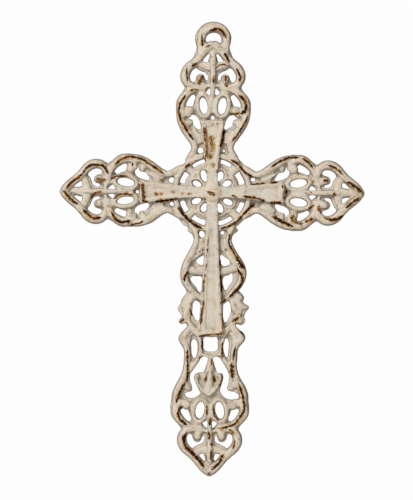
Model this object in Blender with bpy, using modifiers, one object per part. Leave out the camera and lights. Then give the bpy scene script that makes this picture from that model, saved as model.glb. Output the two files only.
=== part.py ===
"""A cast iron wall cross: one openwork casting that hangs from the eye at its head.

Run it with  blender --background --python part.py  or from Blender's text editor.

The cross is drawn flat, in the X and Y of a drawing plane whose origin is the boss at the
crossing, with +Z towards the viewer. The finished casting is then stood up, so that +Z is up,
the front looks along -Y, its flat back lies in the plane Y = 0 and the origin is where a nail
bears in the eye. Lengths in the tables are millimetres.
"""
import math

import bmesh
import bpy
from mathutils import Matrix, Vector

MM = 0.001

# Overall sizes, in millimetres
ARM_REACH = 128.0        # boss to the pointed end of an arm
FOOT_DROP = 110.5        # how much further down the lower finial sits

# Depths of the casting, measured from its flat back
PLATE = 4.0              # the openwork plate that everything stands on
CROSS_FIELD = 6.6        # the sunk panels of the inner cross
CROSS_FACE = 9.2         # the solid middle of the inner cross
BOSS_FACE = 11.6         # top of the boss at the crossing

# Widths
BORDER = 1.7             # half width of the raised border round the inner cross
BOSS_RADIUS = 8.6
RING_RADIUS = 31.2       # outer ring of the wheel round the boss
RING_HALF = 3.2
LOOP_RADIUS = 21.2       # inner ring of the wheel
LOOP_HALF = 2.7
SLOT_RADIUS = 26.3       # the curved slots between the two rings
SLOT_HALF = 1.9
PETAL_RADIUS = 14.9      # the oval holes round the boss
PETAL_LONG = 4.5
PETAL_SHORT = 2.7

# How finely the casting is fused, and what is cut off behind to leave its back flat
BACK_SPARE = 1.6
GRAIN = 0.8
FACE_COUNT = 8000

# The arms as drawn, the angles that they are turned to, and how full the wide lobe came out on the
# near and the far side of each
DRAWN_REACH = 128.0
DRAWN_DROP = 110.5
DRAWN_RING = 31.0
DRAWN_JOIN = 172.0
ARMS = {"top": 0.0, "right": -90.0, "foot": 180.0, "left": 90.0}
FULLNESS = {"top": (-0.04, 0.0), "right": (0.0, 0.0), "foot": (0.035, 0.035), "left": (-0.085, 0.0)}
LOBE_MIDDLE = 72.0
LOBE_SPREAD = 20.0

# Half of a finial's edge, from its point down to the neck: across, then outward from the boss
FINIAL_EDGE = [
    (0, 128.2), (3.5, 126.6), (8, 121.8), (13, 115.4), (18, 111), (22.5, 107), (25.8, 101.5),
    (26.8, 96.5), (25.8, 92), (24, 88.3), (25.8, 84.6), (29.3, 80), (31.4, 75.4), (32, 70),
    (31.5, 64.8)]
NECK_EDGE = [
    (29.4, 60), (26.9, 55), (23.6, 50), (20.2, 45), (17.9, 41), (17.2, 38), (18.8, 34.5), (20.6, 31)]
CORNER = (24.7, 24.7)

# The openings in half of a finial
TIP_HOLE = [(4.4, 115), (6.4, 113.2), (9.1, 109.6), (8.4, 107.9), (5.6, 107.9), (4.3, 110.5)]
COMMA_HOLE = [
    (14, 104.2), (17.3, 102.4), (19.2, 99), (19.2, 95.5), (18.2, 92.6), (16.4, 92.2), (14.7, 94),
    (13.8, 97), (12, 98.9), (9.8, 99.4), (7.7, 98.2), (6.7, 95.8), (5.8, 93.9), (4.6, 94.4),
    (4.2, 97), (5.6, 99.8), (8.6, 101.2), (11.8, 102.6)]
PAIR_HOLE = [(2.6, 86.6), (4.6, 86.7), (5.7, 85), (4.6, 83), (3, 82.9), (2.1, 84.6)]
D_HOLE = [
    (15.5, 80.3), (17.3, 81.2), (19.8, 79.3), (22.3, 76), (22.9, 73), (21.5, 71.5), (18.3, 71.6),
    (17.2, 73.5), (16.2, 76.5)]
TRIANGLE_HOLE = [
    (14.3, 64), (17.5, 63.2), (20.3, 62.4), (19, 61), (16, 60.2), (15.4, 58.3), (16.2, 56),
    (14.6, 53.6), (12.6, 53.4), (11.3, 55.6), (10.6, 59), (11.8, 62)]
OVAL = {"centre": (8.0, 73.0), "hole": (3.4, 6.8), "ring": (5.6, 9.2), "tilt": -7.0}

# Neck holes: arm, across, outward, half width, half height; one did not come through in the mould
NECK_HOLES = [
    ("top", -10, 35, 2.6, 2.6), ("top", 9.7, 34.8, 1.2, 1.2), ("left", 10, 33.8, 2.3, 2.8),
    ("left", -9.9, 33.3, 1.8, 2.3), ("right", -10.8, 34.3, 1.7, 2.2)]
# The small round hole under the spine, on two arms: arm, radius
SPINE_HOLES = [("top", 1.8), ("left", 1.5)]
SPINE_HOLE_OUT = 62.6

# Strands of half of a finial: across, outward, half width
TIP_RIM = [
    (0, 124.2, 3.4), (3.6, 121.8, 3.4), (8, 117.2, 3.3), (12, 112.3, 3.3), (16.5, 108, 3.4),
    (20.5, 104.3, 3.6), (23, 99.5, 3.7), (23.1, 95, 3.6), (21.5, 91.6, 3.3), (18, 89.2, 3.0),
    (14.5, 88.2, 2.6), (11, 88.6, 2.2), (8.4, 90.8, 1.8), (7.4, 93.6, 1.4)]
SCROLL = [
    (9.5, 86, 1.6), (13, 86.3, 2.2), (17, 85.6, 2.8), (21.5, 83, 3.2), (25.3, 79, 3.6),
    (27.6, 74.5, 3.8), (27.6, 70.5, 3.4), (25.3, 67, 2.6), (22, 64.9, 2.0), (18.5, 64.4, 1.6)]
RIM = [
    (28.8, 71, 1.6), (29, 67.5, 2.4), (28, 62.5, 3.0), (25.6, 57.2, 3.3), (22.3, 52, 3.5),
    (18.8, 46.8, 3.4), (15.3, 41.5, 2.8), (14, 37, 2.5), (15, 32.8, 2.5), (16.8, 29.5, 2.6)]
RIM_SPUR = [(24.5, 59, 2.6), (20, 58.4, 2.4), (17.6, 58.2, 1.8)]
OVAL_TAIL = [(13.2, 74, 1.8), (12.6, 79, 1.9), (11.2, 83.5, 1.9), (9.4, 87, 1.8), (7.6, 90, 1.5)]
PAIR_LOOP = [(0, 90.5, 1.4), (4, 89.4, 1.5), (7.2, 86.6, 1.5), (7.2, 83, 1.5), (4.6, 80.8, 1.3)]
CROSS_LEAF = [(0, 105.2, 3.0), (6, 105.3, 2.6), (10, 105.4, 2.4), (13.5, 105.6, 1.6)]
SPINE = [(0, 103, 2.6), (0, 96, 2.2), (0, 88, 1.9), (0, 78, 1.7), (0, 66, 1.2)]
PETAL = [(0, 121, 0.8), (0, 116, 2.2), (0, 110, 3.6), (0, 105, 4.0), (0, 101, 3.0)]
# Balls that end the curls: across, outward, radius
BALLS = [(10.3, 95.1, 3.9), (19.3, 68.0, 3.9)]

# Half of an inner cross arm: across, outward; the foot arm runs on to its own end
CROSS_EDGE = [(4.0, 10), (5.0, 22), (6.5, 34), (8.2, 47), (9.6, 57), (9.4, 60), (4.6, 60.4)]
SHAFT_EDGE = [(4.0, 10), (5.0, 22), (5.6, 34), (6.7, 57), (8.2, 82), (9.6, 106), (10.3, 120), (5.2, 121)]
PANEL_START = 44.0

# The eye on the upper arm's point; its edge takes the place of the finial's as far as the finial's is
# the narrower
EYE_EDGE = [(0.3, 143.3), (7.5, 141.4), (12.2, 137), (15.2, 131), (14.8, 126), (13.8, 121), (15.2, 117)]
EYE_HOLE = [
    (-6.2, 128.4), (-5, 131.6), (-2.5, 133.5), (0.4, 134), (4, 133.3), (6.2, 131), (6.8, 127.8),
    (6.2, 125.6), (4, 126), (0.8, 127.2), (-1.6, 126.4), (-3.4, 125.2), (-5.4, 125.8)]
EYE_BAND = [
    (-11.5, 114, 2.6), (-11.2, 121, 2.8), (-11.4, 128, 3.2), (-9.6, 134.5, 3.5), (-5, 138.6, 3.6),
    (0.4, 139.9, 3.6), (6, 138.6, 3.6), (10.4, 134.5, 3.5), (12, 128, 3.2), (11.3, 121, 2.8),
    (12.2, 114, 2.6)]
EYE_CREST = [
    (-9.2, 116, 2.0), (-8.9, 122, 2.3), (-9.2, 128, 2.6), (-7.6, 133, 2.6), (-3.8, 136.4, 2.6),
    (0.6, 137.4, 2.6), (5, 136.4, 2.6), (8.8, 133, 2.6), (10, 128, 2.4), (9.2, 122, 2.2),
    (10.4, 116, 2.0)]

# The stem between the wheel and the lower finial: across, down from the boss
STEM_EDGE_RIGHT = [
    (20.4, 29), (22, 32), (18.2, 35.4), (16.8, 39), (18, 45), (20.4, 50.5), (24.6, 57.5),
    (28, 64), (29, 70), (27.6, 76), (23.4, 82), (26.4, 85.8), (27.8, 88.8), (27, 92), (32, 96.2),
    (29.6, 100), (28, 104.4), (29, 107.8), (26, 111.2), (21.2, 111), (22, 114), (27, 117.4),
    (29.3, 122), (26.6, 127), (23.5, 131), (22.8, 138), (22.6, 150), (25.6, 156.5), (30, 163.5),
    (32.2, 170)]
STEM_EDGE_LEFT = [
    (20.4, 29), (20.2, 32.4), (16.6, 35.4), (15.2, 40), (16.5, 47), (19.4, 53), (22.6, 59),
    (25.2, 65), (25.8, 70.5), (24.6, 76.5), (20.8, 83.6), (24, 89), (26, 94), (27.9, 98),
    (25.4, 102.4), (24, 104.6), (26.8, 107.6), (25.4, 110.8), (21, 110.4), (20.4, 115),
    (24.6, 118.6), (27, 123), (24.6, 128.4), (22.4, 132), (22.3, 141), (23.4, 150),
    (26.4, 157), (30, 164), (32, 170)]
STEM_HOLES_RIGHT = [
    [(9, 32.2), (10.8, 34), (9, 35.8), (7.2, 34)],
    [(8, 52.6), (10.4, 53.8), (15.7, 59.3), (14.6, 60.6), (9, 61.5), (8, 58)],
    [(16.8, 67.8), (18, 70), (17.8, 74), (15, 78.4), (11.8, 82), (10.4, 79.5), (9.8, 72.6),
     (11.4, 70.4), (14.6, 69.4)],
    [(14, 90.2), (16, 90.6), (16.9, 94), (16.6, 101), (14.6, 106.4), (12.2, 109.2), (10.8, 106.6),
     (10.3, 97), (10.8, 92.4)],
    [(13.4, 122.4), (15, 125), (15.3, 130), (14.8, 136), (13.8, 138.7), (12, 136), (10.8, 130),
     (11.6, 125.4)]]
STEM_HOLES_LEFT = [
    [(8.4, 31.8), (6.2, 33.2), (5.9, 36.8), (7.8, 38.2), (10, 37), (10.3, 33.6)],
    [(6.6, 53.4), (8.8, 54), (13, 58.6), (11.8, 59.8), (7, 60.9), (6.3, 58)],
    [(16.6, 71), (12, 70.6), (8, 71), (7.6, 77), (7.9, 83), (9.6, 83.8), (12.6, 80),
     (16.6, 75), (17.6, 72.8)],
    [(14.6, 91.3), (11, 91.5), (9, 94), (9.1, 104), (10.6, 108), (12, 108), (14, 105),
     (16, 100), (16, 93.4)],
    [(13.6, 123.2), (15.6, 124.6), (16, 131), (15, 138), (13.6, 139.6), (12, 137.6), (10.8, 131.4),
     (11.6, 125.6)]]
SQUARE_HOLE = [
    (-5.4, 122), (0, 121.8), (5.6, 122), (6.2, 127), (5.6, 132.6), (0.4, 133.8), (-5, 132.6),
    (-5.9, 127)]
# The two openings on either side of the small fleur-de-lis
FLEUR_HOLE_RIGHT = [
    (2.2, 138.6), (6.6, 138.3), (9.6, 141), (12.4, 145.6), (15, 151), (16, 156), (15.4, 161),
    (14.6, 165.6), (18, 167.2), (22.6, 168.6), (24.4, 171), (23, 173.4), (18.6, 174),
    (14, 173.2), (11, 171), (8.8, 168.4), (8.8, 164.4), (10.2, 159.6), (11, 154.4), (9.4, 151.8),
    (6.6, 152), (4.8, 148.6), (3, 143)]
FLEUR_HOLE_LEFT = [
    (2.4, 138), (2.2, 141), (3.6, 146), (6, 151.2), (8.4, 151.4), (11.6, 152.4), (12.8, 156),
    (11.6, 161), (9.6, 165.6), (8.4, 168.8), (11.4, 171.6), (15.6, 173), (19.4, 172), (21.2, 169.4),
    (18.4, 168), (15.2, 166.6), (15.2, 163.6), (16.6, 158.4), (16.8, 154), (15, 149.4), (11.6, 144.4),
    (8.2, 139.8), (5.6, 137.8)]

# Strands of the stem: across, down from the boss, half width
STEM_STRANDS_RIGHT = [
    [(17, 29.5, 2.6), (14.8, 34, 2.4), (14, 40, 2.5), (15.6, 46, 2.8), (19, 53, 3.2),
     (23.4, 60, 3.3), (25.8, 66, 3.3), (25.6, 71.5, 3.2), (23.6, 76.5, 3.0), (20, 81.5, 2.8),
     (16, 86, 2.5), (12, 90, 2.2), (8.6, 93.6, 1.8)],
    [(7.4, 45, 1.4), (11.6, 51, 2.0), (16.4, 57.4, 2.4), (20.6, 62.6, 2.4)],
    [(7.6, 66, 2.4), (12.4, 65.2, 3.2), (17.4, 64.4, 3.2), (21.6, 64.4, 2.4)],
    [(16, 89, 2.4), (19.6, 92.4, 3.2), (24, 95.8, 3.2), (30.4, 96.6, 1.2)],
    [(19, 86, 1.8), (23.4, 87.6, 2.6), (26.4, 89, 1.8)],
    [(18.6, 92, 2.2), (20.6, 99, 3.0), (23.4, 105, 2.8), (26.2, 108, 2.4)],
    [(21, 108, 1.6), (17.4, 111, 2.2), (13.8, 115.4, 2.4), (11, 121, 2.0), (9, 127.4, 1.8),
     (8.8, 133, 1.8), (11, 139.4, 2.2), (14.4, 145, 2.2), (17, 150, 2.0)],
    [(18.4, 113, 2.4), (22, 118, 3.2), (25.6, 122, 3.2), (22.4, 126.4, 2.8), (20, 131, 2.8),
     (19.4, 139, 2.8), (19.6, 148, 2.8), (21.6, 155.6, 3.0), (25.2, 162.4, 3.2), (28, 170, 3.2),
     (28.9, 177, 2.4), (28.6, 181.4, 1.6)],
    [(21.4, 160, 2.6), (18.6, 163, 2.4), (16.4, 165, 1.8)]]
STEM_STRANDS_LEFT = [
    [(17, 29.5, 2.6), (13.4, 34, 2.2), (12.6, 40, 2.3), (14.4, 47, 2.8), (17.6, 54, 3.0),
     (20.6, 60.4, 3.2), (22.4, 66.4, 3.2), (22.4, 72, 3.2), (20.4, 77.4, 3.0), (16.8, 81.8, 2.8),
     (13, 85.4, 2.5), (9.6, 88.6, 2.2), (7.4, 91.4, 1.8)],
    [(7, 45, 1.4), (11, 50.6, 2.0), (15.4, 56, 2.4), (19, 60, 2.4)],
    [(7.4, 65.8, 3.2), (12, 65.4, 4.0), (16.6, 65, 3.6), (20, 64.6, 2.4)],
    [(14, 87.4, 2.4), (18.6, 91.4, 3.2), (22.4, 95.4, 3.2), (25.4, 98.4, 2.2)],
    [(18, 86.4, 2.4), (20.6, 90.6, 2.6), (23, 94.4, 2.2)],
    [(17.8, 94, 2.0), (19.4, 101, 2.8), (21.4, 106.6, 2.6), (24.6, 108.6, 1.8)],
    [(18.8, 108, 1.6), (16, 112.4, 2.4), (12.6, 117.4, 2.6), (9.8, 122, 2.0), (8.4, 127.6, 1.8),
     (8.4, 133, 1.8), (10.8, 140, 2.2), (14.4, 145.4, 2.2), (17.4, 150.4, 2.0)],
    [(18, 114, 2.2), (21.2, 119.4, 3.2), (23.6, 123, 3.0), (20.8, 128, 2.8), (19.4, 133, 2.7),
     (19.4, 142, 2.7), (20.4, 150, 2.8), (22.6, 157, 3.0), (25.6, 163, 3.2), (28, 170, 3.2),
     (28.9, 177, 2.4), (28.6, 181.4, 1.6)],
    [(21.6, 160.4, 2.6), (19, 163.4, 2.4), (16.8, 165.2, 1.8)]]
# The small fleur-de-lis and the bars under the inner cross
STEM_BARS = [
    [(-9.4, 120.6, 1.6), (0, 120.4, 1.7), (9.6, 120.2, 1.6)],
    [(-9, 135.8, 1.8), (0.4, 136.2, 1.9), (9.4, 135.6, 1.8)],
    [(0.6, 138, 1.0), (0.2, 144, 2.4), (-0.4, 151, 3.8), (-0.6, 158, 3.8), (-0.4, 165, 3.4),
     (0, 171, 2.2)],
    [(-9.4, 155.6, 3.0), (-8.8, 160, 2.6), (-6.6, 165.4, 2.2), (-3.6, 170, 1.6)],
    [(8, 155.2, 2.8), (7.6, 160, 2.4), (5.8, 165.4, 2.2), (3.4, 170, 1.6)]]
FLEUR_BALLS = [(-9.2, 155.2, 3.4), (8.2, 155, 3.0)]

# The wheel round the boss: the slots and petal holes of one eighth, and a knot on each diagonal
SLOT_ANGLES = (16.5, 35.5)
PETAL_ANGLE = 27.5
PETAL_TILT = 21.0
KNOT = [(10.5, 1.2), (15, 1.5), (19.5, 2.6), (24, 3.4), (29, 3.4)]


def carved(points):
    """Bring carving drawn for DRAWN_REACH to the reach that the cross has."""
    share = ARM_REACH / DRAWN_REACH
    return [(p[0] * share, p[1] * share, *(w * share for w in p[2:])) for p in points]


def lowered(points, side=1):
    """Place stem carving: across and down from the boss, stretched to reach the foot."""
    share = ARM_REACH / DRAWN_REACH
    drawn = (DRAWN_JOIN - DRAWN_RING) * share
    stretch = (drawn + FOOT_DROP - DRAWN_DROP * share) / drawn
    placed = []
    for across, down, *rest in carved(points):
        above = min(down, DRAWN_RING * share)
        along = min(max(down - DRAWN_RING * share, 0.0), drawn)
        below = max(down - DRAWN_JOIN * share, 0.0)
        placed.append((across * side, -(above + along * stretch + below), *rest))
    return placed


def turned(points, arm):
    """Turn carving drawn on the upper arm to another arm; the foot's sits FOOT_DROP further out."""
    angle = math.radians(ARMS[arm])
    drop = FOOT_DROP if arm == "foot" else 0.0
    placed = []
    for across, out, *rest in carved(points):
        out += drop
        placed.append((across * math.cos(angle) - out * math.sin(angle),
                       across * math.sin(angle) + out * math.cos(angle), *rest))
    return placed


def filled_out(points, arm):
    """Widen or narrow an arm's wide lobe, as much as FULLNESS says, and nothing beyond it."""
    placed = []
    for across, out, *rest in points:
        swell = max(0.0, 1.0 - ((out - LOBE_MIDDLE) / LOBE_SPREAD) ** 2)
        fullness = FULLNESS[arm][0 if across < 0 else 1]
        placed.append((across * (1 + fullness * swell), out, *rest))
    return placed


def mirrored(points):
    """The same carving on the other side of its arm."""
    return [(-p[0], *p[1:]) for p in points]


def ellipse(centre, radii, tilt=0.0, half=None, count=14):
    """Points round an ellipse, with a half width at each where it is a strand."""
    angle = math.radians(tilt)
    points = []
    for step in range(count):
        turn = 2 * math.pi * step / count
        across = radii[0] * math.cos(turn)
        out = radii[1] * math.sin(turn)
        point = (centre[0] + across * math.cos(angle) - out * math.sin(angle),
                 centre[1] + across * math.sin(angle) + out * math.cos(angle))
        points.append(point if half is None else (*point, half))
    return points


def new_curve(name, level):
    """An empty flat curve object, level millimetres above the back."""
    curve = bpy.data.curves.new(name, "CURVE")
    curve.dimensions = "2D"
    curve.resolution_u = 4
    outline = bpy.data.objects.new(name, curve)
    outline.location.z = level * MM
    bpy.context.scene.collection.objects.link(outline)
    return outline


def add_spline(outline, points, closed):
    """A smooth spline through points of (x, y) or (x, y, half width)."""
    spline = outline.data.splines.new("BEZIER")
    spline.bezier_points.add(len(points) - 1)
    spline.use_cyclic_u = closed
    for knot, point in zip(spline.bezier_points, points):
        knot.co = (point[0] * MM, point[1] * MM, 0.0)
        knot.handle_left_type = "AUTO"
        knot.handle_right_type = "AUTO"
        if len(point) > 2:
            knot.radius = point[2]


def slab(name, outlines, base, face):
    """A flat piece between two depths, cut from outlines; an outline inside another is a hole."""
    outline = new_curve(name, (base + face) / 2)
    outline.data.fill_mode = "BOTH"
    outline.data.extrude = (face - base) / 2 * MM
    for points in outlines:
        add_spline(outline, points, True)
    return outline


def ridge_section():
    """The section of a strand one millimetre in half width: sunk sides and a ridged top."""
    section = bpy.data.objects.new("ridge section", bpy.data.curves.new("ridge section", "CURVE"))
    bpy.context.scene.collection.objects.link(section)
    spline = section.data.splines.new("POLY")
    corners = [(-1, -1), (1, -1), (1, 0.15), (0.66, 0.72), (0.14, 1.06), (-0.14, 1.06),
               (-0.66, 0.72), (-1, 0.15)]
    spline.points.add(len(corners) - 1)
    spline.use_cyclic_u = True
    for knot, corner in zip(spline.points, corners):
        knot.co = (corner[0] * MM, corner[1] * MM, 0.0, 1.0)
    return section


def strands(name, section, level, runs, closed=False):
    """Ridged strands that run through the points of each run, at their half widths."""
    outline = new_curve(name, level)
    outline.data.bevel_mode = "OBJECT"
    outline.data.bevel_object = section
    outline.data.use_fill_caps = not closed
    for points in runs:
        add_spline(outline, points, closed)
    return outline


def ball(name, centre, radius, level, height):
    """A domed ball, with its widest part at level."""
    bpy.ops.mesh.primitive_uv_sphere_add(segments=20, ring_count=12, radius=radius * MM,
                                         location=(centre[0] * MM, centre[1] * MM, level * MM))
    dome = bpy.context.object
    dome.name = name
    dome.scale.z = height / radius
    return dome


def arm_halves(points, arm):
    """A run on both sides of an arm."""
    return [turned(filled_out(side, arm), arm) for side in (points, mirrored(points))]


def finial_run(arm):
    """An arm's edge from its left neck round its point to its right neck."""
    half = FINIAL_EDGE[1:] + NECK_EDGE
    if arm == "top":
        half = EYE_EDGE[1:] + [p for p in FINIAL_EDGE if p[0] > EYE_EDGE[-1][0]] + NECK_EDGE
        point = EYE_EDGE[:1]
    else:
        point = FINIAL_EDGE[:1]
    if arm == "foot":
        half = FINIAL_EDGE[1:]
    return turned(filled_out(mirrored(half[::-1]) + point + half, arm), arm)


def plate_edge():
    """The outer edge of the casting, clockwise from the left neck of the upper arm."""
    corner = carved([CORNER])[0]
    right = lowered(STEM_EDGE_RIGHT)
    left = lowered(STEM_EDGE_LEFT, -1)
    return (finial_run("top") + [corner] + finial_run("right") + [(corner[0], -corner[1])] +
            right + finial_run("foot") + left[::-1] + [(-corner[0], -corner[1])] +
            finial_run("left") + [(-corner[0], corner[1])])


def finial_holes(arm):
    """The openings of one finial."""
    oval = ellipse(OVAL["centre"], OVAL["hole"], OVAL["tilt"])
    halves = [TIP_HOLE, COMMA_HOLE, PAIR_HOLE, D_HOLE, oval]
    if arm != "foot":
        halves.append(TRIANGLE_HOLE)
    holes = [run for half in halves for run in arm_halves(half, arm)]
    for hole_arm, across, out, wide, high in NECK_HOLES:
        if hole_arm == arm:
            holes.append(turned(ellipse((across, out), (wide, high), count=8), arm))
    for hole_arm, radius in SPINE_HOLES:
        if hole_arm == arm:
            holes.append(turned(ellipse((0, SPINE_HOLE_OUT), (radius, radius), count=8), arm))
    return holes


def wheel_holes():
    """Eight curved slots and eight petal holes round the boss."""
    holes = []
    for quarter in range(4):
        for hand in (-1, 1):
            base = 90.0 * quarter
            inner = SLOT_RADIUS - SLOT_HALF
            outer = SLOT_RADIUS + SLOT_HALF
            first, last = SLOT_ANGLES
            slot = []
            for step in range(5):
                turn = math.radians(base + hand * (first + (last - first) * step / 4))
                slot.append((outer * math.cos(turn), outer * math.sin(turn)))
            for step in range(5):
                turn = math.radians(base + hand * (last + (first - last) * step / 4))
                slot.append((inner * math.cos(turn), inner * math.sin(turn)))
            holes.append(carved(slot))
            turn = math.radians(base + hand * PETAL_ANGLE)
            centre = (PETAL_RADIUS * math.cos(turn), PETAL_RADIUS * math.sin(turn))
            tilt = base + hand * PETAL_TILT
            holes.append(carved(ellipse(centre, (PETAL_LONG, PETAL_SHORT), tilt, count=10)))
    return holes


def stem_holes():
    """The openings of the stem, each side as it was cast."""
    holes = [lowered(points) for points in STEM_HOLES_RIGHT + [SQUARE_HOLE, FLEUR_HOLE_RIGHT]]
    holes += [lowered(points, -1) for points in STEM_HOLES_LEFT + [FLEUR_HOLE_LEFT]]
    return holes


def cast_plate():
    """The openwork plate: the whole outline with every opening."""
    outlines = [plate_edge()]
    for arm in ARMS:
        outlines += finial_holes(arm)
    outlines += wheel_holes() + stem_holes() + [turned(EYE_HOLE, "top")]
    return [slab("plate", outlines, -BACK_SPARE, PLATE)]


def finial_relief(section, arm):
    """The strands, spine, leaf and balls of one finial."""
    halves = [TIP_RIM, SCROLL, OVAL_TAIL, PAIR_LOOP, CROSS_LEAF]
    if arm != "foot":
        halves += [RIM, RIM_SPUR]
    runs = [run for half in halves for run in arm_halves(half, arm)]
    runs += [turned(SPINE, arm), turned(PETAL, arm)]
    oval = ellipse(OVAL["centre"], OVAL["ring"], OVAL["tilt"], half=1.8)
    pieces = [strands(f"{arm} finial strands", section, PLATE, runs),
              strands(f"{arm} finial ovals", section, PLATE, arm_halves(oval, arm), closed=True)]
    for across, out, radius in BALLS:
        for side in (-1, 1):
            x, y, size = turned([(across * side, out, radius)], arm)[0]
            pieces.append(ball(f"{arm} curl ball", (x, y), size, PLATE, size * 1.1))
    return pieces


def wheel_relief(section):
    """Two rings and four diagonal knots round the boss."""
    rings = [ellipse((0, 0), (RING_RADIUS, RING_RADIUS), half=RING_HALF, count=24),
             ellipse((0, 0), (LOOP_RADIUS, LOOP_RADIUS), half=LOOP_HALF, count=24)]
    knots = []
    for quarter in range(4):
        turn = math.radians(45 + 90 * quarter)
        knots.append(carved([(out * math.cos(turn), out * math.sin(turn), half) for out, half in KNOT]))
    return [strands("wheel rings", section, PLATE, [carved(ring) for ring in rings], closed=True),
            strands("wheel knots", section, PLATE, knots)]


def cross_arm(arm):
    """Half of an inner cross arm's edge, on its right, in the upper arm's place."""
    return SHAFT_EDGE if arm == "foot" else CROSS_EDGE


def inner_cross(section):
    """The raised cross: its field, the border round each panel and the solid middle."""
    pieces = []
    for arm in ARMS:
        edge = cross_arm(arm)
        place = lowered if arm == "foot" else lambda run, arm=arm: turned(run, arm)
        outline = place(edge[::-1] + mirrored(edge))
        pieces.append(slab(f"{arm} cross field", [outline], 0, CROSS_FIELD))
        inset = [(v - BORDER, u, BORDER) for v, u in edge[:-2]]
        corner, last = edge[-2][0], edge[-1][1] - BORDER
        end = [(corner - 1.4 * BORDER, last - 0.3, BORDER), (corner / 2, last, BORDER)]
        level = CROSS_FACE - BORDER
        border = inset + end + mirrored((inset + end)[::-1])
        pieces.append(strands(f"{arm} cross border", section, level, [place(border)]))
        middle = [(0, 6, 3.4), (0, 20, 3.4), (0, 0.7 * PANEL_START, 2.6), (0, PANEL_START, 1.4)]
        pieces.append(strands(f"{arm} cross middle", section, CROSS_FACE - 3.4, [place(middle)]))
    pieces.append(ball("boss", (0, 0), BOSS_RADIUS, PLATE, BOSS_FACE - PLATE))
    return pieces


def stem_relief(section):
    """The strands, leaves, bars and small fleur-de-lis of the stem."""
    runs = [lowered(points) for points in STEM_STRANDS_RIGHT + STEM_BARS]
    runs += [lowered(points, -1) for points in STEM_STRANDS_LEFT]
    pieces = [strands("stem strands", section, PLATE, runs)]
    for across, down, radius in FLEUR_BALLS:
        x, y, size = lowered([(across, down, radius)])[0]
        pieces.append(ball("fleur ball", (x, y), size, PLATE, size))
    return pieces


def eye_relief(section):
    """The eye's broad band, with its crest near the hole."""
    return [strands("eye band", section, PLATE - 0.6, [turned(EYE_BAND, "top")]),
            strands("eye crest", section, PLATE + 1.0, [turned(EYE_CREST, "top")])]


def gathered(pieces):
    """One mesh of all the pieces, each as the viewport evaluates it."""
    everything = bmesh.new()
    depsgraph = bpy.context.evaluated_depsgraph_get()
    for piece in pieces:
        mesh = bpy.data.meshes.new_from_object(piece.evaluated_get(depsgraph))
        mesh.transform(piece.matrix_world)
        everything.from_mesh(mesh)
        bpy.data.meshes.remove(mesh)
    bmesh.ops.remove_doubles(everything, verts=everything.verts, dist=0.00001)
    for piece in pieces:
        bpy.data.objects.remove(piece)
    mesh = bpy.data.meshes.new("cross")
    everything.to_mesh(mesh)
    everything.free()
    return mesh


def paint():
    """Antique white paint on the iron."""
    material = bpy.data.materials.new("antique white paint")
    material.use_nodes = True
    shader = material.node_tree.nodes["Principled BSDF"]
    shader.inputs["Base Color"].default_value = (0.62, 0.54, 0.45, 1.0)
    shader.inputs["Roughness"].default_value = 0.6
    shader.inputs["Metallic"].default_value = 0.0
    return material


def cast(pieces, parts, cutters):
    """Fuse the pieces into one casting, stand it up and cut its back flat."""
    bearing = max(height for across, height in turned(EYE_HOLE, "top"))
    stand = Matrix.Rotation(math.radians(90), 4, "X") @ Matrix.Translation(Vector((0, -bearing * MM, 0)))
    mesh = gathered(pieces)
    mesh.transform(stand)
    mesh.materials.append(paint())
    cross = bpy.data.objects.new("cross", mesh)
    parts.objects.link(cross)
    fuse = cross.modifiers.new("fuse", "REMESH")
    fuse.mode = "VOXEL"
    fuse.voxel_size = GRAIN * MM
    soften = cross.modifiers.new("soften", "SMOOTH")
    soften.factor = 0.5
    soften.iterations = 2
    bpy.context.view_layer.update()
    fine = cross.evaluated_get(bpy.context.evaluated_depsgraph_get())
    quads = len(fine.data.polygons)
    thin = cross.modifiers.new("thin", "DECIMATE")
    thin.ratio = FACE_COUNT / (2 * quads)
    depth = 30 * MM
    bpy.ops.mesh.primitive_cube_add(size=1.0, location=(0, depth / 2, 0))
    wall = bpy.context.object
    wall.name = "wall"
    wall.scale = (1.0, depth, 1.5)
    wall.display_type = "WIRE"
    wall.hide_render = True
    for holder in list(wall.users_collection):
        holder.objects.unlink(wall)
    cutters.objects.link(wall)
    flatten = cross.modifiers.new("flat back", "BOOLEAN")
    flatten.operation = "DIFFERENCE"
    flatten.object = wall
    return cross


def main():
    """Clear the scene and build the cross."""
    for leftover in list(bpy.data.objects):
        bpy.data.objects.remove(leftover)
    parts = bpy.data.collections.new("wall cross")
    cutters = bpy.data.collections.new("cutters")
    bpy.context.scene.collection.children.link(parts)
    bpy.context.scene.collection.children.link(cutters)
    section = ridge_section()
    pieces = cast_plate()
    for arm in ARMS:
        pieces += finial_relief(section, arm)
    pieces += wheel_relief(section) + inner_cross(section) + stem_relief(section) + eye_relief(section)
    cast(pieces, parts, cutters)
    bpy.data.objects.remove(section)


main()
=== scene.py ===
"""Looks of the cast iron wall cross: a fine casting, its worn antique paint and a small studio.

It runs as a script. The casting is drawn flat in the X and Y of a drawing plane whose origin is
the boss, with +Z towards the viewer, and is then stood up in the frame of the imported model.
Lengths in the tables are millimetres.
"""

import math

import bmesh
import bpy
import numpy as np
from bpy.props import FloatProperty, FloatVectorProperty, IntProperty, PointerProperty
from mathutils import Matrix, Vector
from mathutils.kdtree import KDTree


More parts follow.
